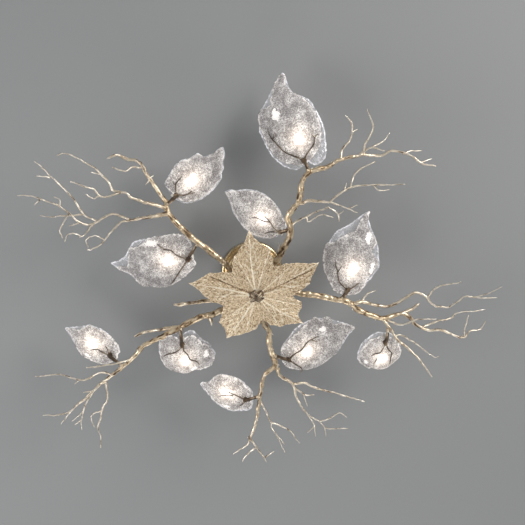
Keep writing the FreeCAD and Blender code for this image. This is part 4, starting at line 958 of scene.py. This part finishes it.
def make_maple_leaf():
    """The leaf's points and faces, with the facts vein, fold and ray for its plating."""
    edge = maple_edge()
    spots, faces = filled(edge, 2.2)
    first_bearing, first_reach, first_rise = LEAF_EDGE[0]
    turn_round = LEAF_EDGE + [(first_bearing + 360, first_reach, first_rise)]
    bearings, reaches, rises = (np.array(column, float) for column in zip(*turn_round))
    at = np.asarray(spots)
    radius = np.hypot(at[:, 0], at[:, 1])
    bearing = np.degrees(np.arctan2(at[:, 1], at[:, 0])) % 360
    bearing = np.where(bearing < first_bearing, bearing + 360, bearing)
    share = np.clip((radius - LEAF_EYE) / (np.interp(bearing, bearings, reaches) - LEAF_EYE), 0, 1)
    lift = np.interp(bearing, bearings, rises) * share ** 1.3
    rim_gap = rim_distance(at, np.asarray(edge))

    def seen_from(base, angle):
        """How far each spot lies along a line from a point, and how far beside it."""
        away = at - base
        return (away[:, 0] * math.cos(angle) + away[:, 1] * math.sin(angle),
                -away[:, 0] * math.sin(angle) + away[:, 1] * math.cos(angle))

    def strip(direction, start, end, width, bend=0.0):
        """Nearness of every spot to a tapering vein that runs out along a bearing."""
        run, off = seen_from(np.zeros(2), math.radians(direction))
        off = off - bend * np.sin(np.clip(run / max(end, 1), 0, 1) * math.pi)
        taper = np.clip(1.15 - run / end, 0.0, 1.0)
        inside = (run > start) & (run < end)
        return np.where(inside, np.exp(-(off / (width * (0.45 + 0.75 * taper))) ** 2), 0.0)

    vein, fold = np.zeros(len(at)), np.zeros(len(at))
    for k, direction in enumerate(MAIN_VEINS):
        length = np.interp(direction, bearings, reaches)
        vein = np.maximum(vein, strip(direction, 8, length, 1.25, 3.0 * (-1) ** k))
        angle = math.radians(direction)
        for branch in range(4):
            base = np.array([math.cos(angle), math.sin(angle)]) * (length * (0.34 + 0.13 * branch))
            for side in (-1, 1):
                run, off = seen_from(base, angle + side * math.radians(38))
                on = (run > 0) & (run < 44 - 8 * branch)
                vein = np.maximum(vein, np.where(on, 0.62 * np.exp(-(off / 0.85) ** 2), 0))
    for k, direction in enumerate(SIDE_VEINS):
        length = np.interp(direction, bearings, reaches)
        vein = np.maximum(vein, 0.8 * strip(direction, 12, length * 0.97, 0.95, 2.0 * (-1) ** k))
    for direction in FOLDS:
        length = np.interp(direction, bearings, reaches)
        fold = np.maximum(fold, strip(direction, 14, length * 0.93, 1.9))
    tips = MAIN_VEINS + SIDE_VEINS
    gap = np.min([np.abs((bearing - t + 180) % 360 - 180) for t in tips], axis=0)
    panel = np.clip(gap / 14.0, 0, 1) * np.clip((radius - 16) / 40, 0, 1)
    dents = np.array([noise.noise(Vector((x, y, 0.0)) * 0.22)
                      + 0.6 * noise.noise(Vector((x, y, 9.0)) * 0.47) for x, y in at])
    body = LEAF_LEVEL + lift + panel * 1.1 + fold * 1.6 + dents * 0.42
    thickness = np.where(rim_gap < 2.5, LEAF_PLATE * (0.55 + 0.45 * rim_gap / 2.5), LEAF_PLATE)
    low = np.column_stack([at, body - vein * 0.95])
    high = np.column_stack([at, body + thickness + vein * 0.2])
    points, skin_faces, middle = plated(spots, faces, low, high, 0.7)
    order = list(middle)
    ray = np.column_stack([np.radians(bearing) * 30.0, radius / 5.0, dents])
    facts = {"vein": skinned(vein, order, 0.55), "fold": skinned(fold, order),
             "ray": skinned(ray, order)}
    return [p * MM for p in points], skin_faces, facts


def leaf_plating():
    """Gold plate over hammered brass: brown dashes along rays from the knot, pale veins and edge."""
    material, tree = blank_material("leaf_gold")
    spot = where(tree)
    drawn = arrow(tree, "MULTIPLY", fact(tree, "ray", "Vector"), (1.0, 0.34, 1.0))
    dashes = spread(tree, clouds(tree, drawn, 1.3, 4.0, 0.68), 0.25, 0.95, 0.35, 0.65)
    mixed = heap(tree, dashes, (cells(tree, spot, 330.0), -0.50),
                 (clouds(tree, spot, 150.0, 4.0, 0.7), 0.85), (fact(tree, "vein"), 0.66),
                 (fact(tree, "fold"), -0.75))
    colour = ramp(tree, spread(tree, mixed, 0.0, 1.0, 0.30, 1.16),
                  (0.0, (0.10, 0.056, 0.026)), (0.26, (0.33, 0.22, 0.12)),
                  (0.50, (0.66, 0.50, 0.32)), (0.78, (0.84, 0.69, 0.48)), (1.0, (1.0, 0.93, 0.77)))
    principled(tree, Base_Color=colour, Metallic=0.60, Roughness=spread(tree, mixed, 0.55, 0.28, 0.4, 1.2),
               Normal=relief(tree, mixed, 0.5, 0.0009))
    return material


leaf = make_maple_leaf()
piece("cast_maple_leaf", leaf[0], leaf[1], leaf_plating(), "fixture", "leaf_gold", ["maple_leaf"],
      facts=leaf[2])

# ---------------------------------------------------------------- twig knot
# A finial cast from a knot of short twisted twigs is screwed on the end of the stud and hides it.
# Its twigs cross in the middle of the leaf, dark in the folds between them.
# Each twig: radius at its start, radius at its end, then its points, heights from the leaf's level.
KNOT_TWIGS = [
    (4.6, 2.6, [(-14, -9, -3), (-9, -3, -8), (-1, 4, -10), (8, 8, -7), (14, 6, -3)]),
    (4.4, 2.6, [(12, -12, -3), (7, -5, -8), (1, 1, -12), (-6, 9, -8), (-11, 13, -3)]),
    (3.6, 2.0, [(-3, -14, -2), (-6, -6, -6), (-5, 3, -9), (1, 11, -6), (6, 15, -2)]),
    (3.4, 1.8, [(15, -2, -2), (8, 0, -7), (0, -6, -10), (-8, -8, -7), (-15, 2, -2)]),
]
KNOT_SPREAD = 1.15
knot_limbs = [{"start_radius": a, "end_radius": b, "flare": 0.9,
               "points": [Vector((x * KNOT_SPREAD, y * KNOT_SPREAD, LEAF_LEVEL + z))
                          for x, y, z in route]} for a, b, route in KNOT_TWIGS]
grown("twisted_knot", knot_limbs, gilded_bark("knot_patina", 0.85, 1.9), "fixture", "bark_gold",
      ["leaf_knot"], Wander=0.0004, Ridge=0.26, Step=0.0012, Sides=14, Seed=2)

# ---------------------------------------------------------------- shade cradles
# Each shade stands on a cast knuckle at the end of a short stem. Two twigs grow out of the knuckle
# and run under the hollow of the front glass, where they show dark against its light.
# Twigs under each front glass: radius at the root, then the places along and across that they pass.
PRONGS = {
    1: [(2.1, [(15, -20), (33, -42), (66, -62), (79, -68), (97, -70)]),
        (1.5, [(72, -64), (83, -56)]),
        (2.1, [(17, 15), (34, 34), (51, 40), (57, 51)]),
        (1.5, [(51, 40), (59, 35)])],
    2: [(2.1, [(14, -16), (22, -22), (42, -24)]),
        (1.5, [(16, -18), (17, -29)]),
        (2.1, [(20, 17), (36, 20)]),
        (1.5, [(26, 20), (40, 28)])],
    3: [(2.1, [(22, 0), (35, 6), (55, 10)]),
        (1.5, [(35, 6), (52, -2), (73, -6), (83, -16)]),
        (2.1, [(12, -8), (24, -18), (30, -27)])],
    4: [(2.1, [(22, 9), (33, 17), (43, 27), (61, 31), (78, 45)]),
        (2.1, [(30, -32), (54, -58), (68, -72)])],
    5: [(2.1, [(14, -26), (40, -38), (51, -45), (65, -50)]),
        (1.5, [(38, -37), (56, -32)]),
        (2.1, [(10, 12), (24, 24)])],
    6: [(2.1, [(20, -8), (42, -13), (62, -25), (76, -29), (97, -29)]),
        (1.5, [(76, -29), (91, -16)]),
        (2.1, [(15, 20), (35, 48), (31, 58)])],
    7: [(2.1, [(32, 8), (41, 23), (49, 30)]),
        (1.5, [(57, 16), (76, 21)]),
        (2.1, [(22, -10), (37, -22), (53, -22), (75, -23)])],
    8: [(2.1, [(16, 10), (25, 22), (35, 44), (43, 54)]),
        (2.1, [(21, -2), (35, -10), (51, -15), (63, -30), (80, -36)])],
    9: [(2.1, [(26, -3), (37, -3), (50, -13)]),
        (2.1, [(10, 8), (21, 15)])],
    10: [(2.1, [(29, 5), (40, 6), (50, 8)]),
        (1.5, [(35, 2), (62, -7), (71, -15)]),
        (2.1, [(6, -18), (14, -28)])],
}


def leaf_row(shade, u, w):
    """Half width on that side and drop of the keel at a place along a leaf."""
    length, half, outline = shade[5:]
    base = (-12.0, 0.86, 0.80, 0.0) if outline == "heart" else (-12.0, 0.34, 0.30, 0.0)
    rows = [base, (9.0, 0.76, 0.68, 0.0)] + [
        (share * length, left, right, keel) for share, left, right, keel in LEAF_SECTIONS[outline]]
    places, lefts, rights, keels = zip(*rows)
    width = np.interp(u, places, rights if w > 0 else lefts) * half
    return max(width, 12.0), np.interp(u, places, keels)


def front_height(shade, u, w):
    """Underside of the front glass over a spot: a hollow boat with a lifted tip."""
    half, keel = leaf_row(shade, u, w)
    return KNUCKLE_TOP + keel + 0.40 * half * min(abs(w) / half, 1.15) ** 1.9


def back_height(shade, u, w):
    """Underside of the back glass over a spot: a shallow trough on top of the holder."""
    _, keel = leaf_row(shade, u, w)
    return 8.7 - 0.35 * min(keel, 0) - 5.0 * max(u - 70, 0) / shade[5] + abs(w) * 0.176


# Painted shade: the cradles get a darker copy of the bark, for twigs seen dark against the lit glass.
SHADED_BARK = gilded_bark("bark_gold_shaded", 0.92, 2.15)
for number, shade in enumerate(SHADES, 1):
    start, end = stem_ends(shade)
    mouth = start + (end - start).normalized() * (BOSS_RADIUS + 2)
    top = unit_place(shade, 0, 0, KNUCKLE_TOP - 0.1)
    foot = unit_place(shade, 0, 0, KNUCKLE_TOP - KNUCKLE_HEIGHT)
    limbs = [{"start_radius": 4.2, "end_radius": 4.4, "points": [mouth, (mouth + end) / 2, end],
              "tip": False, "flare": 1.08},
             {"start_radius": 5.6, "end_radius": 6.3, "points": [foot, (foot + top) / 2, top],
              "tip": False, "flare": 0.85}]
    for radius, route in PRONGS[number]:
        room = 1.0 + radius * 1.15
        points = [unit_place(shade, u, w, front_height(shade, u, w) - room) for u, w in route]
        if radius > 1.7:
            # a main twig starts inside the knuckle, a side twig on its main one
            points.insert(0, unit_place(shade, 0, 0, KNUCKLE_TOP - 6.5))
        limbs.append({"start_radius": radius, "end_radius": radius * 0.62, "points": points,
                      "flare": 1.3})
    grown("twig_cradle_%02d" % number, limbs, SHADED_BARK, "fixture", "bark_gold",
          ["shade_cradle_%02d" % number], Wander=0.0005, Step=0.0014, Sides=10, Seed=number,
          **{"Bud Gap": 0.007, "Bud Share": 0.45, "Ridge": 0.2})

# ---------------------------------------------------------------- front glass leaves
# Each front leaf is fused from crushed glass and slumped into a mould: a shallow boat, cloudy with
# white fibres, with a thick clear wavy rim. Its glow round the lamp is painted light. Outlines are in mm:
# along, across.
FRONT_LEAVES = {
    1: [(-6, 6), (-8, -12), (-1, -30), (9, -48), (26, -63), (48, -73), (76, -81), (103, -86), (124, -87),
        (148, -81), (155, -69), (157, -48), (174, -43), (192, -33), (207, -25), (218, -15), (227, -4),
        (219, 4), (207, 0), (190, 0), (176, 10), (160, 28), (141, 44), (117, 56), (92, 61), (62, 59),
        (36, 51), (16, 36), (2, 20)],
    2: [(-4, 4), (0, 14), (7, 29), (26, 45), (51, 54), (77, 57), (97, 55), (117, 50), (124, 42),
        (136, 36), (147, 23), (161, 14), (169, -2), (159, -6), (144, -8), (127, -14), (117, -20),
        (113, -34), (100, -37), (85, -42), (72, -49), (54, -50), (38, -47), (20, -42), (6, -36),
        (1, -25), (-2, -12)],
    3: [(-5, 1), (3, -12), (15, -28), (33, -41), (54, -49), (77, -50), (94, -45), (111, -38), (130, -31),
        (147, -17), (163, -6), (175, -1), (165, 10), (149, 20), (137, 30), (120, 41), (102, 48),
        (78, 50), (54, 46), (34, 38), (18, 30), (3, 21), (-2, 13)],
    4: [(-9, 8), (-11, 24), (-8, 43), (11, 55), (34, 60), (67, 61), (85, 60), (111, 56), (119, 48),
        (127, 43), (145, 37), (164, 35), (164, 23), (167, 5), (176, -11), (210, -14), (204, -20),
        (190, -27), (174, -38), (162, -58), (149, -73), (132, -77), (113, -84), (87, -82), (57, -70),
        (26, -52), (2, -34), (-14, -14), (-11, -2)],
    5: [(-10, -1), (-10, 11), (1, 32), (19, 43), (45, 48), (73, 62), (93, 65), (107, 48), (115, 37),
        (140, 47), (157, 30), (170, 14), (190, 6), (214, 6), (201, -5), (172, -14), (156, -18),
        (146, -32), (125, -53), (114, -61), (104, -77), (91, -81), (66, -78), (38, -69), (21, -57),
        (-2, -38), (-13, -21)],
    6: [(-14, 1), (-7, 19), (10, 37), (37, 54), (69, 62), (96, 62), (121, 53), (143, 47), (161, 23),
        (178, 6), (195, -3), (209, -6), (196, -19), (176, -31), (156, -34), (154, -52), (144, -62),
        (125, -59), (116, -70), (87, -66), (58, -56), (34, -48), (12, -39), (-6, -27), (-12, -14)],
    7: [(0, 0), (-9, 8), (-11, 16), (2, 30), (20, 43), (37, 51), (62, 57), (82, 57), (94, 49), (101, 32),
        (100, 12), (97, -6), (93, -24), (82, -39), (64, -50), (45, -51), (25, -42), (7, -31), (-8, -16),
        (-8, -7)],
    8: [(2, 3), (-4, 6), (-21, 14), (-24, 29), (-4, 51), (19, 60), (49, 63), (67, 60), (84, 55),
        (100, 41), (100, 22), (101, 4), (100, -16), (105, -35), (102, -53), (98, -67), (85, -74),
        (74, -78), (58, -70), (37, -65), (20, -50), (5, -42), (-10, -35), (-18, -26), (-17, -14),
        (-6, -5)],
    9: [(-18, 1), (-15, 10), (-14, 21), (-2, 28), (16, 35), (36, 40), (52, 41), (69, 38), (89, 35),
        (97, 25), (104, 15), (122, 5), (141, -4), (128, -9), (108, -18), (95, -35), (76, -47), (55, -51),
        (39, -48), (21, -46), (3, -34), (-9, -19)],
    10: [(-15, 3), (-18, -13), (-13, -27), (4, -39), (26, -49), (44, -53), (61, -48), (83, -40),
        (98, -27), (114, -16), (127, -4), (127, 2), (111, 10), (102, 19), (100, 27), (86, 38), (67, 42),
        (46, 42), (27, 39), (8, 29), (-7, 21), (-13, 12)],
}
BACK_LEAVES = {
    1: [(-3, 11), (-15, -15), (-13, -29), (-4, -44), (9, -57), (33, -73), (64, -83), (96, -89),
        (101, -92), (115, -87), (145, -79), (174, -54), (203, -29), (225, -9), (229, 1), (213, 5),
        (193, 7), (173, 15), (161, 36), (147, 52), (124, 60), (101, 66), (69, 71), (33, 66), (11, 62),
        (-8, 50), (-15, 27), (-6, 15)],
    2: [(-5, 7), (0, 18), (6, 33), (26, 49), (51, 59), (79, 62), (101, 60), (121, 55), (128, 46),
        (141, 39), (153, 26), (166, 16), (175, -1), (164, -5), (150, -6), (132, -12), (122, -18),
        (118, -33), (104, -36), (89, -41), (74, -49), (55, -50), (38, -47), (19, -42), (4, -36),
        (0, -24), (-3, -9)],
    3: [(-7, -4), (2, -17), (15, -33), (33, -46), (55, -54), (78, -55), (97, -50), (115, -43),
        (134, -35), (151, -20), (168, -8), (180, -3), (170, 8), (154, 18), (141, 30), (124, 41),
        (104, 47), (79, 49), (55, 45), (34, 37), (17, 28), (2, 19), (-4, 10)],
    4: [(-1, 2), (-4, 18), (2, 37), (19, 52), (52, 57), (92, 53), (122, 52), (153, 47), (168, 33),
        (183, 12), (206, 1), (225, -2), (216, -14), (199, -27), (176, -48), (158, -70), (115, -82),
        (64, -74), (32, -56), (10, -38), (-2, -17)],
    5: [(-7, 4), (-7, 23), (6, 40), (31, 53), (62, 68), (83, 76), (112, 66), (142, 53), (172, 27),
        (197, 10), (216, 8), (204, -6), (178, -26), (152, -52), (145, -59), (128, -67), (102, -73),
        (62, -71), (31, -60), (9, -42), (-5, -25)],
    6: [(-6, 9), (1, 26), (16, 42), (43, 58), (74, 67), (102, 67), (128, 60), (154, 48), (187, 16),
        (211, 1), (213, -5), (192, -22), (159, -45), (130, -60), (105, -65), (83, -64), (55, -59),
        (32, -46), (12, -35), (-2, -21)],
    7: [(-10, 17), (3, 31), (22, 45), (39, 53), (65, 59), (85, 59), (98, 51), (105, 33), (104, 12),
        (101, -6), (97, -25), (85, -41), (67, -52), (47, -53), (27, -44), (8, -32), (-7, -17), (-11, 0)],
    8: [(-21, 15), (-24, 30), (-3, 53), (21, 62), (51, 66), (70, 62), (88, 57), (104, 43), (104, 23),
        (105, 4), (104, -17), (109, -36), (106, -55), (102, -70), (89, -77), (77, -81), (61, -73),
        (39, -68), (22, -52), (6, -44), (-9, -36), (-18, -27), (-17, -15), (-11, 0)],
    9: [(-11, -8), (-10, 14), (5, 24), (25, 32), (56, 36), (91, 30), (109, 16), (124, 7), (145, -10),
        (133, -18), (111, -32), (92, -47), (67, -55), (36, -52), (10, -39), (-8, -23)],
    10: [(-15, -7), (-17, -22), (-13, -37), (4, -48), (27, -57), (46, -62), (65, -58), (88, -50),
        (103, -36), (120, -23), (133, -10), (132, -3), (117, 4), (107, 13), (104, 22), (90, 33),
        (71, 36), (48, 37), (28, 34), (9, 25), (-7, 15), (-13, 4)],
}


LAMP_START, LAMP_END = 52, 58        # the brightest stretch of the lamp, along the leaf
# Painted glints on the front leaves: bright white patches that stand in for light thrown back by the
# glass. Along, across, half length, half width.
PAINTED_GLINTS = {1: [(129, -42, 20, 12)], 4: [(98, 47, 24, 9)], 5: [(146, 19, 21, 11), (72, 53, 19, 8)],
          6: [(120, -40, 15, 7)], 7: [(84, 40, 12, 7)], 8: [(60, -58, 18, 8), (92, -20, 9, 12)],
          9: [(60, -38, 14, 6)], 10: [(50, -44, 14, 6)]}


def smooth_outline(corners, spacing, wave, seed):
    """Closed smooth curve through given points, with a small wave along it."""
    corners = [Vector(p) for p in corners]
    count = len(corners)
    out = []
    for k in range(count):
        p0, p1, p2, p3 = (corners[(k + i) % count] for i in (-1, 0, 1, 2))
        bend = (p2 - p1).normalized().dot((p1 - p0).normalized())
        ease = 0.5 if bend > 0.1 else 0.28
        m1, m2 = (p2 - p0) * ease, (p3 - p1) * 0.5
        steps = max(int((p2 - p1).length / spacing), 1)
        for s in range(steps):
            t = s / steps
            a = 2 * t ** 3 - 3 * t ** 2 + 1
            b = t ** 3 - 2 * t ** 2 + t
            c = -2 * t ** 3 + 3 * t ** 2
            d = t ** 3 - t ** 2
            out.append(p1 * a + m1 * b + p2 * c + m2 * d)
    waved = []
    for k, spot in enumerate(out):
        run = out[(k + 1) % len(out)] - out[k - 1]
        side = Vector((run.y, -run.x)).normalized()
        swing = noise.noise(Vector((spot.x * 0.11, spot.y * 0.11, seed)))
        fine = noise.noise(Vector((spot.x * 0.26, spot.y * 0.26, seed + 5)))
        waved.append(tuple(spot + side * (0.9 * swing + 0.8 * fine) * wave))
    return waved


def glass_sheet(shade, corners, height, thickness, spacing, wave, seed, bead, crumple, painted_glints=()):
    """One glass leaf: its points and faces, with the facts glow, rim and way, and the painted glints of
    light.

    spacing and wave are the mesh's step and the swing of the outline, bead is how much thicker
    the rim is, and crumple how rough the faces are."""
    edge = smooth_outline(corners, 1.9, wave, seed)
    spots, faces = filled(edge, spacing)
    at = np.asarray(spots)
    distance = rim_distance(at, np.asarray(edge))
    low, high = [], []
    ahead, aside, up = unit_axes(shade[3], shade[4])
    base = hung(shade[2])

    def rough(scale_u, scale_w, shift):
        """Smooth noise at the spot in hand."""
        return noise.noise(Vector((u * scale_u, w * scale_w, seed + shift)))

    # ripples over the whole leaf, a flutter near its rim, fine grit on both faces, and a thick rim
    for (u, w), d in zip(spots, distance):
        h = height(shade, u, w)
        soft = min(d / 5.0, 1.0)
        ripple = rough(0.050, 0.050, 0) * 1.5 + rough(0.13, 0.13, 2) * 0.9
        flutter = rough(0.075, 0.075, 7) * 3.2 * max(1 - d / 16.0, 0)
        grit = rough(0.42, 0.30, 3) * crumple * soft
        grit_two = rough(0.38, 0.40, 11) * crumple * soft
        swell = bead * math.exp(-(d / 2.2) ** 2)
        if math.hypot(u, w) < 9:
            ripple = flutter = 0.0
        wavy = h + (ripple + flutter) * (0.35 if d > 3 else 0.5)
        spot = base + ahead * u + aside * w
        low.append(spot + up * (wavy + grit - swell * 0.5))
        high.append(spot + up * (wavy + thickness + grit_two + swell * 0.5))
    points, skin_faces, middle = plated(spots, faces, low, high, 1.1 + bead * 0.5)
    # painted glow: how much of the lamp's light is painted on the glass, falling off round the lamp
    past_lamp = np.maximum(np.maximum(LAMP_START - at[:, 0], at[:, 0] - LAMP_END), 0)
    lamp_gap = np.hypot(past_lamp, at[:, 1])
    glow = 0.66 * np.exp(-(lamp_gap / 14.0) ** 2) + 0.40 * np.exp(-(lamp_gap / 38.0) ** 2)
    rim = np.exp(-(distance / 1.7) ** 2)
    way = np.column_stack([at * 0.1, np.full(len(at), float(seed))])
    # painted glints: soft spots where the glass is to show bright light thrown back from it
    painted_glint = np.zeros(len(at))
    for u, w, half_u, half_w in painted_glints:
        off = np.hypot((at[:, 0] - u) / half_u, (at[:, 1] - w) / half_w)
        painted_glint = np.maximum(painted_glint, np.exp(-off ** 2))
    order = list(middle)
    facts = {"glow": skinned(glow, order), "rim": skinned(rim, order, 1.0),
             "painted_glint": skinned(painted_glint, order), "way": skinned(way, order)}
    return [p * MM for p in points], skin_faces, facts


def broken_rim(tree, way, scale, low, high):
    """The bright rim of a leaf, stronger in some places than in others."""
    uneven = spread(tree, clouds(tree, way, scale, 3.0), low, high, 0.40, 0.64)
    return reckon(tree, "MULTIPLY", fact(tree, "rim"), uneven)


def crushed_glass():
    """Cloudy fused glass: white fibres and cracks in clear glass, with the lamp's light painted into it.
    """
    material, tree = blank_material("front_glass")
    way, glow = fact(tree, "way", "Vector"), fact(tree, "glow")
    rim = broken_rim(tree, way, 0.8, 0.05, 1.2)
    pulled = arrow(tree, "MULTIPLY_ADD", clouds(tree, way, 0.9, 3.0, output="Color"),
                   (1.6, 1.6, 1.6), way)

    def thin_lines(value, width):
        """Curly lines where a noise crosses its middle."""
        off = reckon(tree, "ABSOLUTE", reckon(tree, "SUBTRACT", value, 0.5))
        return spread(tree, off, 1.0, 0.0, 0.0, width)

    wisps = spread(tree, clouds(tree, pulled, 2.9, 6.0, 0.76), 0.0, 0.92, 0.42, 0.68)
    cracks = spread(tree, cells(tree, pulled, 1.7, "DISTANCE_TO_EDGE"), 1.0, 0.0, 0.0, 0.14)
    clump = spread(tree, clouds(tree, way, 0.42, 2.0), 0.35, 1.25, 0.35, 0.68)
    folds = thin_lines(clouds(tree, way, 0.75, 2.5, distortion=0.6), 0.022)
    threads = thin_lines(clouds(tree, way, 1.9, 2.0, distortion=1.1), 0.036)
    fibre = heap(tree, wisps, (cracks, 0.34), (cells(tree, pulled, 3.6), 0.25))
    fibre = heap(tree, reckon(tree, "MULTIPLY", fibre, clump), (folds, 0.45), (threads, 0.55),
                 (rim, 0.55), clamp=True)
    # painted glints: the listed spots, broken up, are made white, more solid and lit a little, as light
    # thrown back by the glass
    painted_glint = heap(tree, fact(tree, "painted_glint"), (cells(tree, pulled, 1.8), -0.75))
    painted_glint = spread(tree, painted_glint, 0.0, 1.0, 0.10, 0.28)
    cold = ramp(tree, fibre, (0.0, (0.155, 0.137, 0.130)), (0.38, (0.48, 0.43, 0.415)),
                (0.80, (1.0, 0.97, 0.95)))
    warm = ramp(tree, fibre, (0.0, (0.26, 0.20, 0.165)), (0.34, (0.60, 0.51, 0.45)),
                (0.8, (1.0, 0.95, 0.89)))
    # painted light: near the lamp the glass turns warmer, more solid and glows, and its rim glows faintly
    colour = blend(tree, spread(tree, glow, 0.0, 1.0, 0.02, 0.34), cold, warm)
    cover = reckon(tree, "MULTIPLY_ADD", fibre, 0.66, 0.20)
    light = reckon(tree, "MULTIPLY", glow, spread(tree, fibre, 0.36, 1.35))
    core = spread(tree, glow, 0.0, 0.7, 0.55, 1.05)
    principled(tree, Base_Color=blend(tree, painted_glint, colour, (1.0, 1.0, 1.0, 1)), Roughness=0.16, IOR=1.5,
               Alpha=heap(tree, cover, (glow, 0.80), (painted_glint, 0.7), clamp=True),
               Emission_Color=(1.0, 0.905, 0.82, 1),
               Emission_Strength=heap(tree, light, (core, 1.0), (painted_glint, 0.34), (rim, 0.10)),
               Normal=relief(tree, fibre, 0.8, 0.0016))
    return material


FRONT_GLASS = crushed_glass()
for number, shade in enumerate(SHADES, 1):
    sheet = glass_sheet(shade, FRONT_LEAVES[number], front_height, thickness=3.0, spacing=2.4, wave=2.5,
                        seed=number * 3.0, bead=0.9, crumple=1.0, painted_glints=PAINTED_GLINTS.get(number, ()))
    piece("crushed_glass_leaf_%02d" % number, sheet[0], sheet[1], FRONT_GLASS, "fixture",
          "front_glass", ["glass_leaf_%02d" % number], facts=sheet[2])

# ---------------------------------------------------------------- back glass leaves
# A thinner leaf of clear slumped glass lies over the lamp and closes the shade towards the ceiling.
# It shows as a bright outline round the front leaf.


def clear_glass():
    material, tree = blank_material("back_glass")
    way = fact(tree, "way", "Vector")
    rim = broken_rim(tree, way, 0.55, 0.15, 1.1)
    ripple = clouds(tree, way, 1.1, 4.0, distortion=0.8)
    streak = spread(tree, ripple, 0.0, 0.34, 0.48, 0.70)
    cover = heap(tree, streak, (rim, 0.80), clamp=True)
    # painted glow: the glass emits a little of the lamp's light, and faintly along its rim
    light = reckon(tree, "MULTIPLY", fact(tree, "glow"), 0.35)
    principled(tree, Base_Color=(0.86, 0.87, 0.93, 1), Roughness=0.08, IOR=1.5,
               Alpha=reckon(tree, "ADD", cover, 0.12, clamp=True), Emission_Color=(1.0, 0.96, 0.92, 1),
               Emission_Strength=heap(tree, light, (rim, 0.16)),
               Normal=relief(tree, ripple, 0.5, 0.0016))
    return material


BACK_GLASS = clear_glass()
for number, shade in enumerate(SHADES, 1):
    sheet = glass_sheet(shade, BACK_LEAVES[number], back_height, thickness=2.4, spacing=3.0, wave=1.6,
                        seed=number * 3.0 + 50, bead=0.8, crumple=0.2)
    piece("clear_glass_leaf_%02d" % number, sheet[0], sheet[1], BACK_GLASS, "fixture",
          "back_glass", ["back_leaf_%02d" % number], facts=sheet[2])

# ---------------------------------------------------------------- lamp holders
# White glazed steatite holders for capsule lamps. Each lies between its two glass leaves and stands
# with its foot on the front one; the long screw of the shade passes through it.


def glazed_ceramic():
    material, tree = blank_material("glazed_ceramic")
    cloud = clouds(tree, where(tree), 90.0, 3.0)
    colour = ramp(tree, cloud, (0.25, (0.80, 0.77, 0.70)), (0.75, (0.92, 0.90, 0.85)))
    principled(tree, Base_Color=colour, Roughness=spread(tree, cloud, 0.14, 0.26),
               Normal=relief(tree, cloud, 0.1, 0.0004))
    return material


def foot_block(shade):
    """The square foot of a holder, under its barrel."""
    (x0, y0, z0), (x1, y1, z1) = FOOT_LOW, FOOT_HIGH
    points = [unit_place(shade, x, y, z) * MM for z in (z0, z1) for y in (y0, y1) for x in (x0, x1)]
    faces = [(0, 2, 3, 1), (4, 5, 7, 6), (0, 1, 5, 4), (2, 6, 7, 3), (0, 4, 6, 2), (1, 3, 7, 5)]
    return points, faces


HOLDER = rounded([(0, -9.0), (7.2, -9.0), (8.4, -7.0), (8.4, 14.0), (7.6, 15.0), (7.6, 17.0),
                  (8.4, 18.0), (8.4, 26.6), (7.4, 28.0), (0, 28.0)], 0.7)[::-1]
CAPSULE = [(0, 28.05), (5.6, 28.05), (6.9, 28.9), (7.1, 34.0), (6.4, 36.0), (7.1, 38.0), (7.4, 50.0),
           (7.3, 60.0), (6.6, 64.4), (5.0, 67.6), (2.8, 69.5), (0, 70.0)][::-1]
CAP_SEAT, SHANK_END = 11.9, -19.9
SCREW = [(0, CAP_SEAT + 3.1), (2.4, CAP_SEAT + 3.0), (3.9, CAP_SEAT + 2.3), (4.5, CAP_SEAT + 1.2),
         (4.5, CAP_SEAT), (1.8, CAP_SEAT), (1.8, SHANK_END + 0.4), (0, SHANK_END)]
FOOT_LOW, FOOT_HIGH = (-6, -4, -8.2), (6, 4, 0)
holders, capsules, screws = [], [], []
for shade in SHADES:
    ahead, aside, up = unit_axes(shade[3], shade[4])
    base = unit_place(shade, 0, 0, 0)
    holders.append(lathe(HOLDER, 32, base, ahead))
    holders.append(foot_block(shade))
    capsules.append(lathe(CAPSULE, 28, base, ahead))
    screws.append(lathe(SCREW, 24, base, up))
piece("ceramic_holders", *gather(holders), glazed_ceramic(), "fixture", "holder_ceramic",
      ["lamp_holders"])

# ---------------------------------------------------------------- capsule lamps
# Each holder takes a small clear capsule lamp by its pins. The lamps are lit: a narrow pinch by the
# holder, a waist, and a warm white bulb with a round end.


def lit_capsule():
    material, tree = blank_material("lit_capsule")
    light = spread(tree, clouds(tree, where(tree), 70.0, 2.0), 1.9, 2.8, 0.35, 0.65)
    principled(tree, Base_Color=(1.0, 0.97, 0.92, 1), Roughness=0.08,
               Emission_Color=(1.0, 0.93, 0.82, 1), Emission_Strength=light)
    return material


piece("lit_capsules", *gather(capsules), lit_capsule(), "fixture", "lamp_glass", ["capsule_lamps"])

# ---------------------------------------------------------------- shade screws
# A long domed screw holds each shade together: through back leaf, holder and front leaf, down into
# the knuckle of the cradle.
piece("domed_screws", *gather(screws), STEEL, "fixture", "plated_steel", ["glass_screws"])
